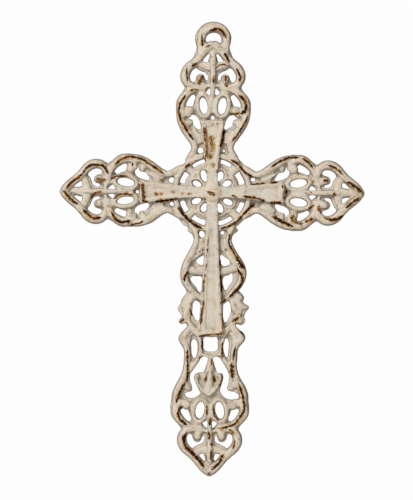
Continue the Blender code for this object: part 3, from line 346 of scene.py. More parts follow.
# Where the paint has worn to dark iron or rust along the crests, in the drawing plane:
# (half width, darkness), then points across and up from the boss
WORN_LINES = [
    # eye
    ((0.85, 0.9), [(-3.3, 135.2), (0.6, 136.3), (3.5, 136.9), (7.7, 134.8), (11, 129.6)]),
    ((0.7, 0.95), [(-9.4, 131.6), (-9.2, 127), (-9, 122.1)]),
    ((0.6, 0.7), [(-5.8, 121.6), (-1.6, 123.2)]),
    ((0.5, 0.8), [(6.3, 121.8), (6.8, 121.5)]),
    # top finial
    ((0.8, 0.9), [(9.5, 116.4), (11.7, 112.9), (13.7, 109.1)]),
    ((0.7, 0.8), [(-17.7, 105.2), (-13.1, 108.4)]),
    ((0.6, 0.8), [(-21.9, 103.6), (-22, 98.4), (-21.3, 92.6)]),
    ((0.8, 0.9), [(19.6, 103.9), (22.7, 97.6), (21.8, 92.4)]),
    ((0.6, 0.6), [(2.8, 103.8), (4.7, 106.1), (7.4, 107), (11.1, 106.5)]),
    ((1.4, 0.45), [(-8.8, 97.4), (-10, 94.3), (-11.8, 90)]),
    ((0.8, 0.9), [(10.6, 97.5), (10.7, 93.3)]),
    ((0.9, 0.5), [(10.2, 90.7), (12.3, 89.1)]),
    ((0.6, 0.6), [(0.7, 96.9), (0.5, 90.6)]),
    ((0.6, 0.5), [(-19.2, 84.7), (-15.8, 85.6), (-12.4, 85.8)]),
    ((0.8, 0.8), [(-22.9, 81.1), (-25.8, 76.5), (-27.5, 73.1), (-28, 68.9)]),
    ((0.8, 0.9), [(-28.5, 71), (-27.4, 62.6), (-23.2, 54.3), (-19.8, 48.8), (-15.7, 43.3)]),
    ((1.2, 1), [(22.3, 80.8), (25, 78.7), (27.1, 75.6), (27.6, 69.3), (25.8, 67.3), (23, 66.1)]),
    ((0.7, 0.6), [(14.6, 66), (18.8, 65.1), (24, 66.7)]),
    ((0.7, 0.75), [(29.3, 64.1), (28, 60.1), (26.2, 56.7), (21.9, 49.6), (16.8, 43)]),
    # inner cross
    ((0.6, 0.8), [(-5.7, 57), (-4.8, 57)]),
    ((0.6, 0.8), [(-0.7, 56.5), (0.5, 56.5)]),
    ((0.6, 0.8), [(3.1, 57.1), (4.1, 57.1)]),
    ((0.7, 0.5), [(-7.4, 53.9), (-6.3, 46), (-4.8, 35.5), (-5.7, 28.9)]),
    ((1, 0.9), [(9.4, 52.4), (9, 48.2), (8.4, 44), (6.9, 37.7)]),
    # wheel
    ((0.8, 0.8), [(-22.9, 20.4), (-19.2, 23.3)]),
    ((0.5, 0.7), [(-14.2, 26), (-13.4, 26.4)]),
    ((0.5, 0.7), [(-8.4, 28.3), (-7.4, 28.7)]),
    ((0.8, 0.9), [(15.7, 27.2), (21.4, 23.6), (26.1, 18), (29.2, 15.6), (33.6, 13.4)]),
    ((1.1, 1), [(-28.3, -12.3), (-25.5, -16.7), (-22.1, -20.7), (-18, -24.7), (-13.7, -28.1),
     (-8.5, -30.3)]),
    ((0.8, 0.8), [(11.6, -29.7), (16.1, -27.7), (20.8, -24.5), (25.4, -19.4)]),
    ((0.9, 0.8), [(25.4, -19.4), (31, -13.7), (35.6, -9.7)]),
    # boss
    ((1.5, 0.55), [(-3.6, 0.1), (-0.9, -1.1), (1.9, -2.3)]),
    # inner cross
    ((1.1, 0.6), [(-58.3, 7.1), (-57.8, 1.5), (-56.8, -6.9)]),
    ((0.8, 0.9), [(-58.7, -7.8), (-54, -8.3)]),
    ((0.8, 0.9), [(-47.9, -8.5), (-43.7, -7.7), (-36.2, -6.7), (-28.4, -5.8)]),
    ((0.7, 0.7), [(16.9, -2.6), (20.7, -4)]),
    ((0.8, 0.8), [(26.2, -3.5), (31, -4.1), (36.6, -4.8), (44.5, -7.1)]),
    ((0.9, 0.9), [(48.7, -8.5), (58, -8.4)]),
    ((0.7, 0.8), [(33.6, 6.4), (38.5, 7.1), (44.4, 7.9)]),
    ((0.7, 0.9), [(48.6, 7.9), (55.1, 8.9)]),
    ((0.6, 0.7), [(58.8, 6.1), (59, 4)]),
    ((0.6, 0.7), [(59.4, -0.5), (59.5, -1.7)]),
    ((0.6, 0.7), [(59.8, -3.8), (59.8, -5.2)]),
    ((0.5, 0.5), [(-3, -38.4), (-3.1, -40.9)]),
    ((0.5, 0.5), [(-4.3, -60.3), (-4.5, -63.1)]),
    ((0.5, 0.4), [(-5.3, -68.7), (-5.4, -71.2)]),
    ((0.5, 0.4), [(-7.3, -92.2), (-7.5, -94.7)]),
    ((0.5, 0.35), [(9.2, -100.5), (9.8, -108.9)]),
    ((0.6, 0.4), [(-5.7, 54), (-5, 45.6), (-4.2, 35.5), (-4, 28.8)]),
    ((1, 0.4), [(-48.1, -2.3), (-45.9, -2.3)]),
    ((0.8, 0.45), [(-43.1, -1.7), (-41.7, -1.6)]),
    ((0.9, 0.45), [(-33.3, 0), (-32, -0.5)]),
    ((0.7, 0.4), [(-25.6, -1.3), (-24.8, -1.3)]),
    ((0.8, 0.45), [(-19.6, -1.7), (-18.4, -1.6)]),
    ((0.9, 0.35), [(-0.9, 46.1), (-0.2, 38.6)]),
    ((0.8, 0.3), [(-1.5, 30.5), (-1.5, 28.8)]),
    # left finial
    ((0.8, 0.9), [(-122.7, 1.5), (-118.5, 6.7), (-113.6, 10.7), (-108.3, 14.7)]),
    ((0.8, 0.9), [(-108.3, 14.7), (-106.4, 18), (-104.1, 20.7), (-99, 22.2), (-92.5, 21.8),
     (-89.6, 19.5),
     (-87.3, 14.4)]),
    ((0.8, 0.9), [(-124.5, 0.5), (-120.3, -4.6), (-116.8, -8.2), (-112.3, -11)]),
    ((1.4, 0.35), [(-96.6, 10.1), (-93.4, 9.3), (-89.5, 9.7)]),
    ((1, 1), [(-107.6, -15.7), (-103.3, -20.3), (-98.7, -22.6), (-93.1, -21.9)]),
    ((0.6, 0.6), [(-101.6, -6.3), (-98.9, -2.1), (-95.8, -0.8), (-92.3, -0.4)]),
    ((0.7, 0.6), [(-85.3, 9.7), (-81.2, 12.5), (-76.6, 13), (-70.9, 12.8)]),
    ((0.7, 0.6), [(-82, -6.1), (-78.3, -2.8), (-71.7, -1.9), (-66.2, -2.8)]),
    ((0.8, 0.9), [(-81.2, 22.3), (-76.6, 26.6), (-69.2, 29), (-61.7, 28.1), (-54.2, 24.4),
     (-49, 20.9),
     (-43.9, 17.5), (-40.5, 14.7)]),
    ((0.9, 0.9), [(-84.2, -17.3), (-80.9, -22.9), (-75.3, -25.7), (-67.9, -24.3)]),
    ((0.7, 0.75), [(-68.3, -28), (-62.9, -27.1), (-57.1, -24.6)]),
    ((0.6, 0.8), [(-69.5, 25), (-68.8, 24.5)]),
    ((0.6, 0.8), [(-67, 23.8), (-66.7, 21.3)]),
    ((0.6, 0.8), [(-67.3, -17.5), (-66.7, -18)]),
    ((0.5, 0.6), [(-75.9, 2.5), (-75.2, 2.1)]),
    ((0.5, 0.6), [(-70.2, 2.1), (-69.6, 1.8)]),
    ((0.5, 0.6), [(-64.6, 0.7), (-63.9, 0.4)]),
    ((0.5, 0.6), [(-61.9, 6.4), (-61.2, 6)]),
    # right finial
    ((0.8, 0.9), [(49.4, 21.4), (55.9, 25.7), (60.2, 27.8), (65.2, 29.5), (72.7, 29.1)]),
    ((0.8, 0.9), [(75.5, 28.6), (81.1, 25), (83.9, 21.2)]),
    ((0.8, 0.9), [(97.4, 23.1), (103.6, 20.4), (108.8, 15.8)]),
    ((1, 0.95), [(113.9, 9.3), (119.5, 5.6), (125.2, 1)]),
    ((0.3, 0.25), [(110.1, 10.6), (115.8, 5.8), (122.4, 0.5), (116.4, -5.6), (110.3, -11.7)]),
    ((0.9, 0.85), [(123.3, -4.1), (117.7, -8), (112.2, -12.2)]),
    ((0.7, 0.8), [(93.3, 10.3), (97.1, 10.5)]),
    ((1.3, 0.5), [(102.2, -0.5), (103.2, -1.5)]),
    ((0.9, 0.9), [(94.1, -20.7), (99.2, -22.5), (104.8, -21.6), (109.9, -18.8)]),
    ((0.8, 0.4), [(89.8, -10.5), (89.3, -13.7), (92.6, -17.5)]),
    ((0.7, 0.6), [(80.5, -13.4), (86, -10.5)]),
    ((1.1, 0.95), [(50.6, -20.1), (54.3, -22), (58.1, -23.8), (62.3, -26), (68, -28.4)]),
    ((0.9, 0.4), [(68.3, -18.6), (67, -21.9), (70.3, -25.1), (75.9, -25.8)]),
    ((0.9, 0.8), [(77.7, -24.5), (84.7, -21.7)]),
    ((0.5, 0.6), [(78.2, -0.1), (78.9, -0.4)]),
    ((0.5, 0.6), [(82.7, 0.4), (83.4, 0)]),
    ((0.7, 0.7), [(62.2, 2), (62.8, -0.5)]),
    # stem
    ((0.7, 0.7), [(-15.8, -27.6), (-12.5, -29.2), (-8.8, -30.7)]),
    ((0.7, 0.7), [(6.9, -30.6), (15.2, -28.4)]),
    ((0.8, 0.85), [(15.3, -34.7), (14.3, -42.1), (16.5, -47.3), (19.6, -51.5)]),
    ((1.2, 1), [(19.6, -52.5), (22.9, -57.8), (27.1, -64.1)]),
    ((0.9, 0.9), [(21.8, -64.1), (25, -69.3), (26.1, -73.5), (23, -79.8), (19, -83.9),
     (15.2, -87.8)]),
    ((0.8, 0.8), [(12.6, -89.4), (7.8, -93)]),
    ((0.8, 0.9), [(-19.1, -66.5), (-22.2, -70.7), (-22.7, -74.9)]),
    ((0.6, 0.8), [(-20.3, -77.7), (-19.9, -78.4)]),
    ((0.5, 0.7), [(-18.5, -56.3), (-17.7, -55.8)]),
    ((0.5, 0.7), [(-13.6, -52.3), (-12.8, -51.6)]),
    # inner cross
    ((0.5, 0.7), [(-3.1, -41.8), (-3, -42.9)]),
    ((0.5, 0.7), [(-3.5, -48), (-3.5, -49.3)]),
    ((0.5, 0.7), [(-4.4, -53), (-4.5, -54.4)]),
    ((0.6, 0.5), [(-6.4, -72.7), (-6.7, -77.9), (-6.9, -84.2)]),
    ((0.7, 0.6), [(-6.3, -90.5), (-7.8, -101), (-8.8, -111.5)]),
    ((0.6, 0.6), [(6.5, -56.8), (7.1, -62.1)]),
    ((0.8, 0.8), [(7.6, -69.4), (8.3, -77), (8.8, -84.1)]),
    ((0.6, 0.45), [(9.5, -105.1), (9.8, -111.4), (10.1, -118.8)]),
    ((0.7, 0.5), [(-10.3, -121), (-5.1, -119.9), (1.6, -119.4), (9.6, -118.8)]),
    # stem
    ((0.6, 0.8), [(-17.8, -98), (-16.2, -103.2)]),
    ((0.6, 0.9), [(-26.2, -109.6), (-23, -106.4)]),
    ((0.6, 0.8), [(-24.4, -97.2), (-23.9, -97.7)]),
    ((0.9, 0.7), [(17.9, -108.2), (23.2, -105)]),
    ((0.6, 0.8), [(24.3, -116.6), (28, -119.7)]),
    ((1, 1), [(-6.7, -123.1), (-6.9, -127.5), (-7.1, -131.5)]),
    ((0.9, 0.6), [(-10, -139.1), (-9.3, -138.6)]),
    ((0.8, 0.55), [(9.7, -126.1), (9.8, -132.4), (9.8, -138.7)]),
    ((0.7, 0.9), [(20.2, -129.2), (19.2, -135.5), (18.6, -140.7)]),
    ((1.3, 1), [(17.4, -143.3), (18, -149.1), (18.3, -155.4)]),
    ((0.7, 0.8), [(-19.7, -131.6), (-19.6, -141), (-19.1, -150.5), (-20, -158.9)]),
    # fleur
    ((0.6, 0.6), [(0.4, -139.9), (0.9, -144.1)]),
    ((0.9, 0.6), [(-3.7, -154.6), (-4.8, -158.8)]),
    ((0.9, 0.6), [(2.6, -154.5), (3.6, -159.2)]),
    ((0.7, 0.5), [(9.9, -153.4), (9, -158.1), (7.3, -162.9)]),
    # foot finial
    ((0.8, 0.9), [(-21.6, -159.9), (-25.7, -167.4), (-27.4, -171.8), (-28.8, -176.8)]),
    ((0.9, 0.9), [(-24, -179.9), (-27.2, -184.2), (-26.8, -188.1), (-24.5, -191.5),
     (-19.7, -195.1)]),
    ((0.8, 0.85), [(23.6, -160.7), (26.8, -170.1), (28.4, -179.6), (27.5, -184), (24.8, -188),
     (22.7, -191.4), (19.7, -194.3), (13.4, -197), (7.1, -198)]),
    ((0.9, 0.35), [(15.5, -198.6), (19.7, -202.7)]),
    ((0.6, 0.6), [(-3.1, -178.7), (-3, -187.1)]),
    ((0.6, 0.6), [(2.1, -177.6), (2.6, -182.5), (3.3, -187), (7, -191.2)]),
    ((0.8, 0.8), [(-0.4, -189.2), (-0.8, -195.5)]),
    ((0.8, 0.8), [(-1.3, -200.8), (-0.8, -207.1)]),
    ((0.6, 0.6), [(0.8, -210.8), (0.8, -212.8)]),
    ((0.6, 0.6), [(0.7, -216.5), (0.7, -223.9)]),
    ((1.1, 1), [(-19.7, -201.4), (-22.3, -206.1), (-21.2, -212.4), (-19, -215.4), (-15.9, -217.7),
     (-10.2, -223.8), (-5.3, -230.2)]),
    ((0.9, 0.9), [(10.8, -219.6), (7.3, -226.9), (1.5, -232.3)]),
    ((0.7, 0.8), [(20.8, -207.9), (19.9, -211.8), (18.7, -215.3)]),
    ((0.8, 0.4), [(-1.4, -235.5), (-0.7, -237.1)])]

# Rust that has bled into the paint: colour, radius, strength, across and up from the boss
STAINS = [
    ("olive", 3, 1, -0.8, 44.8), ("olive", 3, 1, 0, 39.7), ("olive", 2.6, 1, 0.1, 36.4),
    ("olive", 2.6, 1, -1.5, 29.9), ("olive", 2.4, 1, 0.7, 22.3), ("orange", 1.6, 0.7, -1.2, 33.8),
    ("orange", 2.4, 0.9, -47.1, -2.2), ("orange", 1.8, 0.8, -42.3, -1.7),
    ("orange", 2, 0.9, -32.6, -0.2), ("orange", 1.8, 0.8, -25.1, -1.3),
    ("orange", 1.8, 0.8, -19.1, -1.7), ("olive", 2.4, 0.7, -54.8, 9.9),
    ("olive", 1.8, 0.8, -42.9, 10), ("orange", 2.2, 0.8, -57.7, 4),
    ("orange", 2, 0.7, -57.5, -3.5), ("orange", 2.4, 0.9, -10, 94.3),
    ("orange", 2.2, 0.8, 10.1, 95.2), ("orange", 2.2, 0.7, 11.4, 89.9),
    ("orange", 2.4, 0.8, -93.4, 9.6), ("orange", 2.2, 0.7, -86.9, -12.5),
    ("orange", 2, 0.6, -98.9, -2.1), ("orange", 2.4, 0.7, 102.8, -1.5),
    ("orange", 2.8, 0.8, 69, -22.8), ("orange", 2.2, 0.7, 89.6, -13.4),
    ("orange", 2, 0.6, 94.8, 10.2), ("olive", 1.8, 0.9, 84.5, 9.3),
    ("orange", 2.6, 0.6, 24.7, -61.7), ("orange", 2, 0.6, 20.9, -107.1),
    ("orange", 2.4, 0.6, -24.8, -181.4), ("orange", 2.4, 0.6, 17.3, -200.4),
    ("orange", 2, 0.7, -4.3, -156.9), ("orange", 2, 0.7, 3.1, -156.8),
    ("orange", 2.2, 0.6, 18.7, -150.8), ("olive", 2.2, 0.5, 1.6, -115.7),
    ("olive", 1.8, 0.5, -5.1, -119.9), ("orange", 2, 0.6, 0, -235),
    ("orange", 2.2, 0.6, 27.1, 75.2), ("orange", 2, 0.6, 16.2, 65.9), ("orange", 2, 0.8, -0.9, -1),
    ("olive", 1.8, 0.6, -19.8, -66.3), ("orange", 2.2, 0.6, 9.8, -198.8),
    ("orange", 1.8, 0.5, 8.6, -158.4), ("olive", 2.2, 0.6, -5.4, 35.5),
    ("olive", 2, 0.5, -6.3, 43.9), ("orange", 2, 0.5, -101, 21.4), ("orange", 2, 0.5, -79.2, 24),
    ("orange", 2, 0.5, -72.5, 28.3), ("orange", 2, 0.5, -105.8, -18.2),
    ("orange", 2.2, 0.5, -78, -24.7), ("orange", 2, 0.5, 55.2, 25.9),
    ("orange", 2, 0.5, 119.2, 5.3), ("orange", 2, 0.5, 59.7, -24.5),
    ("orange", 2, 0.5, 100.9, -22.2), ("orange", 2, 0.5, -13.6, -221.6),
    ("orange", 2, 0.5, -21.2, -210.7), ("orange", 2, 0.5, -24.9, 56.4),
    ("orange", 2, 0.5, -19.2, -24.2), ("orange", 2, 0.5, 22.8, -22.3),
    ("orange", 2, 0.5, -6.7, -127.5), ("orange", 2, 0.5, 9.7, -132.4),
    ("olive", 2, 0.6, 19.9, -94.5), ("olive", 2, 0.5, -13.1, -63.7),
    ("olive", 1.6, 0.6, -3.5, -44.3), ("olive", 1.6, 0.5, -5, -65.3),
    ("olive", 1.6, 0.6, -5.9, -74.6), ("olive", 1.6, 0.6, -7.3, -87.2),
    ("olive", 1.8, 0.6, -8.8, -115.7), ("olive", 1.8, 0.6, 10.2, -113.9),
    ("olive", 1.6, 0.5, 7.3, -65.2), ("olive", 2, 0.5, 42, -7.8), ("orange", 2, 0.5, 37.8, -5.4),
    ("olive", 2, 0.5, -41.2, -7.6)]

# Creases and dents sunk in the face: (half width, depth), then points across and up from the boss
GROOVES = [
    # the two pits of the small fleur-de-lis
    ((0.9, 2.0), [(-2.4, -151.3), (-3.3, -155.5), (-4.4, -159.7)]),
    ((0.9, 2.0), [(1.9, -150.4), (2.8, -155), (3.4, -159.4)]),
    # the neck hole that did not come through
    ((1.4, 2.2), [(33.6, -9.8), (35.4, -9.2)]),
    # the deep corner at the foot of the right spine, and small pits in the finials
    ((1.0, 1.8), [(61.6, 2.9), (63.6, -0.9)]),
    ((0.8, 1.2), [(-117.6, -1.5), (-113.5, -4.8)]),
    ((0.7, 1.0), [(-89.5, -2.4), (-89.2, -2.7)]),
    ((0.7, 1.0), [(-88.5, -11.8), (-88.2, -12.1)])]

# The middle of the camera's view, in metres, and how far it is rolled, in degrees
VIEW_MIDDLE = (-0.00435, 0.0, -0.1825)
VIEW_ROLL = 0.42

# How finely curves and rounds are drawn
CURVE_STEPS = 10
ROUND_POINTS = 24
OVAL_POINTS = 14
PETAL_POINTS = 10
SMALL_POINTS = 8
SLOT_STEPS = 4
BALL_FACETS = (32, 20)
# Points closer than this, in metres, are one, and how far the fused skin is smoothed
WELD = 0.00001
SOFTEN_FACTOR = 0.5
SOFTEN_ROUNDS = 4

# Worn lines and grooves: spacing of their samples and how far one reaches past its ends, in
# millimetres, how fast a line widens from its ends, and the share of its width that it has there
LINE_SPACING = 0.25
LINE_END = 0.3
TAPER_RATE = 8
TAPER_END = 0.35
# Least half width of a groove, and how far from its middle it still counts
GROOVE_LEAST = 0.2
GROOVE_REACH = 6
# Swells of the uneven face: share, size in metres, seed; each of WAVES waves, longer or shorter by
# WAVE_SPREAD
SWELLS = ((1.0, 0.011, 7), (0.6, 0.005, 8))
WAVES = 14
WAVE_SPREAD = (0.6, 1.8)
# Height up to which walls slope, in strand heights
DRAFT_TOP = 1.25
# Averaging with the neighbours: their share, and the rounds that find walls, broad form and crests
NEIGHBOUR_SHARE = 0.65
WALL_ROUNDS = 5
BROAD_ROUNDS = 24
PROUD_ROUNDS = 2
# Where a measure of the casting starts to count, and where it counts in full
FADES = {
    "groove by facing": (0.1, 0.6), "swell by facing": (-0.2, 0.3), "wall by tilt": (0.4, 0.9),
    "line by distance": (1.7, 2.6), "line by facing": (0.02, 0.3),
    "stain by distance": (0.3, 1.3), "crest by height": (0.12, 0.5),
    "crest by facing": (0.3, 0.8), "hollow by depth": (0.05, 0.5), "back by facing": (0.4, 0.8),
    "flank by facing": (0.15, 0.75)}

# Noises of the paint: size in millimetres, detail, roughness
NOISES = {
    "clouds": (16.0, 2.0, 0.5), "blots": (4.5, 3.0, 0.55), "dashes": (2.4, 2.5, 0.5),
    "flecks": (1.1, 3.0, 0.6), "sand": (0.55, 2.0, 0.5)}
SAND_SHARE = 0.6         # the specks are this much sand, and flecks for the rest
GRAIN_GAIN = 3.5
TINTS = ("paint", "aged", "blush", "shade", "bare", "scale", "rust", "olive")
# How far the paint is drawn to the shade tint as painted shade, in the hollows and on the walls
PAINTED_SHADE = {"hollow": 0.35, "flank": 0.7}
FRINGE_INSET = 0.1       # the thin paint round a worn line: inset and strength
FRINGE_BLUSH = 0.8
PIT_SHARE = 0.7
CHIP_SHARE = 0.9
# Gloss of the paint, and heights in millimetres of its sand, its flecks and its own thickness
SHEEN = 0.08
ROUGHNESS_SWING = 0.15
SAND_HEIGHT = 0.14
FLECK_HEIGHT = 0.22
PAINT_HEIGHT = 0.14
# How masks follow noises and measures: from low, from high, to low, to high
EASES = {
    "warm clouds": (0.35, 0.7, 0.0, 1.0), "grey specks": (0.42, 0.58, 0.0, 0.23),
    "blush in blots": (0.38, 0.62, 0.0, 0.5), "blush in specks": (0.38, 0.56, 0.5, 1.0),
    "stain": (0.0, 0.3, 0.0, 1.0), "stain spots": (0.12, 0.55, 0.0, 0.95),
    "line in dashes": (0.36, 0.54, 0.4, 1.1), "line in specks": (0.38, 0.6, 0.7, 1.25),
    "iron by width": (-0.1, 0.15, 0.0, 1.0), "iron by grit": (0.0, 0.3, 0.0, 1.0),
    "bare by width": (-0.05, 0.2, 0.0, 1.0), "bare by grit": (0.25, 0.6, 0.0, 1.0),
    "scale by grit": (0.1, 0.6, 0.0, 1.0), "fringe width": (0.35, 0.62, 0.9, 2.4),
    "fringe": (-0.2, 0.5, 0.0, 1.0), "fringe in specks": (0.42, 0.58, 0.0, 0.95),
    "chips": (0.585, 0.64, 0.0, 1.0), "chips by crest": (0.1, 0.6, 0.0, 1.0),
    "chips in blots": (0.42, 0.58, 0.0, 1.0), "pits": (0.66, 0.7, 0.0, 1.0),
    "chip floor": (0.42, 0.58, 0.0, 1.0), "roughness": (0.0, 1.0, 0.58, 0.82)}

# The studio, in metres. Lights: size, and place as seen from the middle of the view
KEY_PLACE = (1.8, (-2.0, -3.2, 2.4))
FILL_PLACE = (2.0, (1.2, -2.4, 0.2))
FLOOR_SIZE = 5.0
FLOOR_COLOUR = (0.82, 0.81, 0.80)
FLOOR_ROUGHNESS = 0.9
# What the surroundings cast on the cross, and what the camera sees of them
SOFT_WHITE = (1.0, 0.99, 0.98)
SOFT_STRENGTH = 0.19
SEEN_WHITE = (0.985, 0.985, 0.985)
SENSOR_WIDTH = 36.0
CLIP_END = 50.0

LENGTH = {"unit": "LENGTH", "subtype": "DISTANCE"}
COLOUR = {"size": 3, "min": 0.0, "max": 1.0, "subtype": "COLOR"}


class CastingSizes(bpy.types.PropertyGroup):
    """Depths and fineness of the casting."""
    plate: FloatProperty(
        name="Plate", description="Height at which the strands are widest",
        default=0.004, min=0.003, max=0.005, **LENGTH)
    web: FloatProperty(
        name="Web", description="Thickness of the iron between the strands",
        default=0.0032, min=0.002, max=0.005, **LENGTH)
    panel_depth: FloatProperty(
        name="Panel depth", description="How far the panels of the inner cross are sunk",
        default=0.0006, min=0.0, max=0.003, **LENGTH)
    cross_face: FloatProperty(
        name="Inner cross", description="Height of the border and middle of the inner cross",
        default=0.0096, min=0.007, max=0.0105, **LENGTH)
    boss_face: FloatProperty(
        name="Boss", description="Height of the boss at the crossing",
        default=0.0113, min=0.009, max=0.012, **LENGTH)
    grain: FloatProperty(
        name="Grain", description="Fineness that the strands are fused at",
        default=0.0004, min=0.0003, max=0.001, **LENGTH)
    unevenness: FloatProperty(
        name="Unevenness", description="How far the cast face wanders",
        default=0.00016, min=0.0, max=0.0005, **LENGTH)
    draft: FloatProperty(
        name="Draft", description="Slope of the walls, across for each unit of height",
        default=0.18, min=0.0, max=0.3)
    faces: IntProperty(
        name="Triangles", description="Triangles left in the finished casting",
        default=186000, min=20000, max=198000)


class PaintFinish(bpy.types.PropertyGroup):
    """Colours and wear of the paint."""
    paint: FloatVectorProperty(
        name="Paint", description="Antique white of the paint",
        default=(0.695, 0.633, 0.532), **COLOUR)
    aged: FloatVectorProperty(
        name="Aged paint", description="Warmer paint, in broad clouds",
        default=(0.72, 0.63, 0.505), **COLOUR)
    blush: FloatVectorProperty(
        name="Blush", description="Tan where the paint is thin on the crests",
        default=(0.56, 0.34, 0.15), **COLOUR)
    # The shade tint colours the grey specks, and is also the painted shade in the hollows and on
    # the walls
    shade: FloatVectorProperty(
        name="Shade", description="Greyer paint in the hollows",
        default=(0.23, 0.185, 0.13), **COLOUR)
    bare: FloatVectorProperty(
        name="Bare iron", description="Dark iron where the paint has worn through",
        default=(0.022, 0.0055, 0.0015), **COLOUR)
    scale: FloatVectorProperty(
        name="Brown scale", description="Red-brown edge of the bare iron",
        default=(0.105, 0.042, 0.011), **COLOUR)
    rust: FloatVectorProperty(
        name="Rust", description="Orange rust beside the bare iron",
        default=(0.42, 0.19, 0.038), **COLOUR)
    olive: FloatVectorProperty(
        name="Old rust", description="Yellow-brown rust that has bled through the paint",
        default=(0.32, 0.21, 0.025), **COLOUR)
    wear: FloatProperty(
        name="Wear", description="How wide the worn lines are",
        default=1.24, min=0.0, max=2.0, subtype="FACTOR")


class StudioLook(bpy.types.PropertyGroup):
    """Light, floor and camera."""
    distance: FloatProperty(
        name="Camera distance", description="From the cross to the camera",
        default=2.6, min=1.0, max=6.0, **LENGTH)
    view_height: FloatProperty(
        name="View height", description="Height that the picture takes in at the cross",
        default=0.42, min=0.2, max=1.0, **LENGTH)
    key: FloatProperty(
        name="Key light", description="Power of the soft light at the upper left",
        default=174.0, min=0.0, max=1000.0, unit="POWER")
    fill: FloatProperty(
        name="Fill light", description="Power of the broad light at the front",
        default=7.0, min=0.0, max=200.0, unit="POWER")
    floor_drop: FloatProperty(
        name="Floor", description="From the foot of the cross down to the floor",
        default=0.26, min=0.01, max=2.0, **LENGTH)


def lowered(points, side=1):
    """Place stem carving, drawn across and down from the boss, on its right (1) or left (-1)."""
    placed = []
    for across, down, *rest in points:
        along = min(max(down - STEM_TOP, 0.0), STEM_LENGTH)
        lean = FOOT_SHIFT * along / STEM_LENGTH
        placed.append((across * side + lean, -down, *rest))
    return placed


def turned(points, arm):
    """Turn carving drawn on the upper arm to another arm; the foot's sits FOOT_DROP further out."""
    angle = math.radians(ARMS[arm])
    drop, shift = (FOOT_DROP, FOOT_SHIFT) if arm == "foot" else (0.0, 0.0)
    placed = []
    for across, out, *rest in points:
        out += drop
        placed.append((across * math.cos(angle) - out * math.sin(angle) + shift,
                       across * math.sin(angle) + out * math.cos(angle), *rest))
    return placed


def filled_out(points, arm):
    """Widen or narrow an arm's wide lobe, as much as FULLNESS says, and nothing beyond it."""
    placed = []
    for across, out, *rest in points:
        swell = max(0.0, 1.0 - ((out - LOBE_MIDDLE) / LOBE_SPREAD) ** 2)
        fullness = FULLNESS[arm][0 if across < 0 else 1]
        placed.append((across * (1 + fullness * swell), out, *rest))
    return placed


def widened(points):
    """A rim that leans right out to the edge of the casting."""
    return [(across, out, half * RIM_WIDTH) for across, out, half in points]


def mirrored(points):
    """The same carving on the other side of its arm."""
    return [(-across, *rest) for across, *rest in points]


def ellipse(centre, radii, count, tilt=0.0, half=None):
    """Points round an ellipse, with a half width at each where it is a strand."""
    angle = math.radians(tilt)
    points = []
    for step in range(count):
        turn = 2 * math.pi * step / count
        across = radii[0] * math.cos(turn)
        out = radii[1] * math.sin(turn)
        point = (centre[0] + across * math.cos(angle) - out * math.sin(angle),
                 centre[1] + across * math.sin(angle) + out * math.cos(angle))
        points.append(point if half is None else (*point, half))
    return points


def circle(radius, half=None):
    """Points round the boss, with a half width at each where it is a strand."""
    return ellipse((0, 0), (radius, radius), ROUND_POINTS, half=half)


def linked(name, data):
    """A new object of some data, in the scene."""
    piece = bpy.data.objects.new(name, data)
    bpy.context.scene.collection.objects.link(piece)
    return piece


def flat_curve(name, level):
    """An empty flat curve object, level millimetres above the back."""
    curve = bpy.data.curves.new(name, "CURVE")
    curve.dimensions = "2D"
    curve.resolution_u = CURVE_STEPS
    outline = linked(name, curve)
    outline.location.z = level * MM
    return outline


def add_spline(outline, points, closed):
    """A smooth spline through points of (x, y) or (x, y, half width)."""
    spline = outline.data.splines.new("BEZIER")
    spline.bezier_points.add(len(points) - 1)
    spline.use_cyclic_u = closed
    for knot, (x, y, *half) in zip(spline.bezier_points, points):
        knot.co = (x * MM, y * MM, 0.0)
        knot.handle_left_type = "AUTO"
        knot.handle_right_type = "AUTO"
        if half:
            knot.radius = half[0]


def slab(name, outlines, base, face):
    """A flat piece between two depths, cut from outlines; an outline inside another is a hole."""
    outline = flat_curve(name, (base + face) / 2)
    outline.data.fill_mode = "BOTH"
    outline.data.extrude = (face - base) / 2 * MM
    for points in outlines:
        add_spline(outline, points, True)
    return outline


def section_of(name, flank):
    """The section of a strand one millimetre in half width, from half of it."""
    section = linked(name, bpy.data.curves.new(name, "CURVE"))
    spline = section.data.splines.new("POLY")
    corners = flank + mirrored(flank[::-1])
    spline.points.add(len(corners) - 1)
    spline.use_cyclic_u = True
    for knot, (across, up) in zip(spline.points, corners):
        knot.co = (across * MM, up * MM, 0.0, 1.0)
    return section


def strands(name, section, level, runs, closed=False):
    """Strands of one section that run through the points of each run, at their half widths."""
    outline = flat_curve(name, level)
    outline.data.bevel_mode = "OBJECT"
    outline.data.bevel_object = section
    outline.data.use_fill_caps = not closed
    for points in runs:
        add_spline(outline, points, closed)
    return outline


def ball(name, centre, radius, level, height):
    """A domed ball, with its widest part at level."""
    dome = bmesh.new()
    around, up = BALL_FACETS
    bmesh.ops.create_uvsphere(dome, u_segments=around, v_segments=up, radius=radius * MM)
    bmesh.ops.scale(dome, verts=dome.verts, vec=(1, 1, height / radius))
    bmesh.ops.translate(dome, verts=dome.verts, vec=(centre[0] * MM, centre[1] * MM, level * MM))
    mesh = bpy.data.meshes.new(name)
    dome.to_mesh(mesh)
    dome.free()
    return linked(name, mesh)


def arm_halves(points, arm):
    """A run on both sides of an arm."""
    return [turned(filled_out(side, arm), arm) for side in (points, mirrored(points))]


def finial_run(arm):
    """An arm's edge from its left neck round its point to its right neck."""
    point, *half = FINIAL_EDGE
    if arm == "top":
        point, *eye = EYE_EDGE
        half = eye + [place for place in FINIAL_EDGE if place[0] > EYE_EDGE[-1][0]]
    if arm != "foot":
        half = half + NECK_EDGE
    return turned(filled_out(mirrored(half[::-1]) + [point] + half, arm), arm)


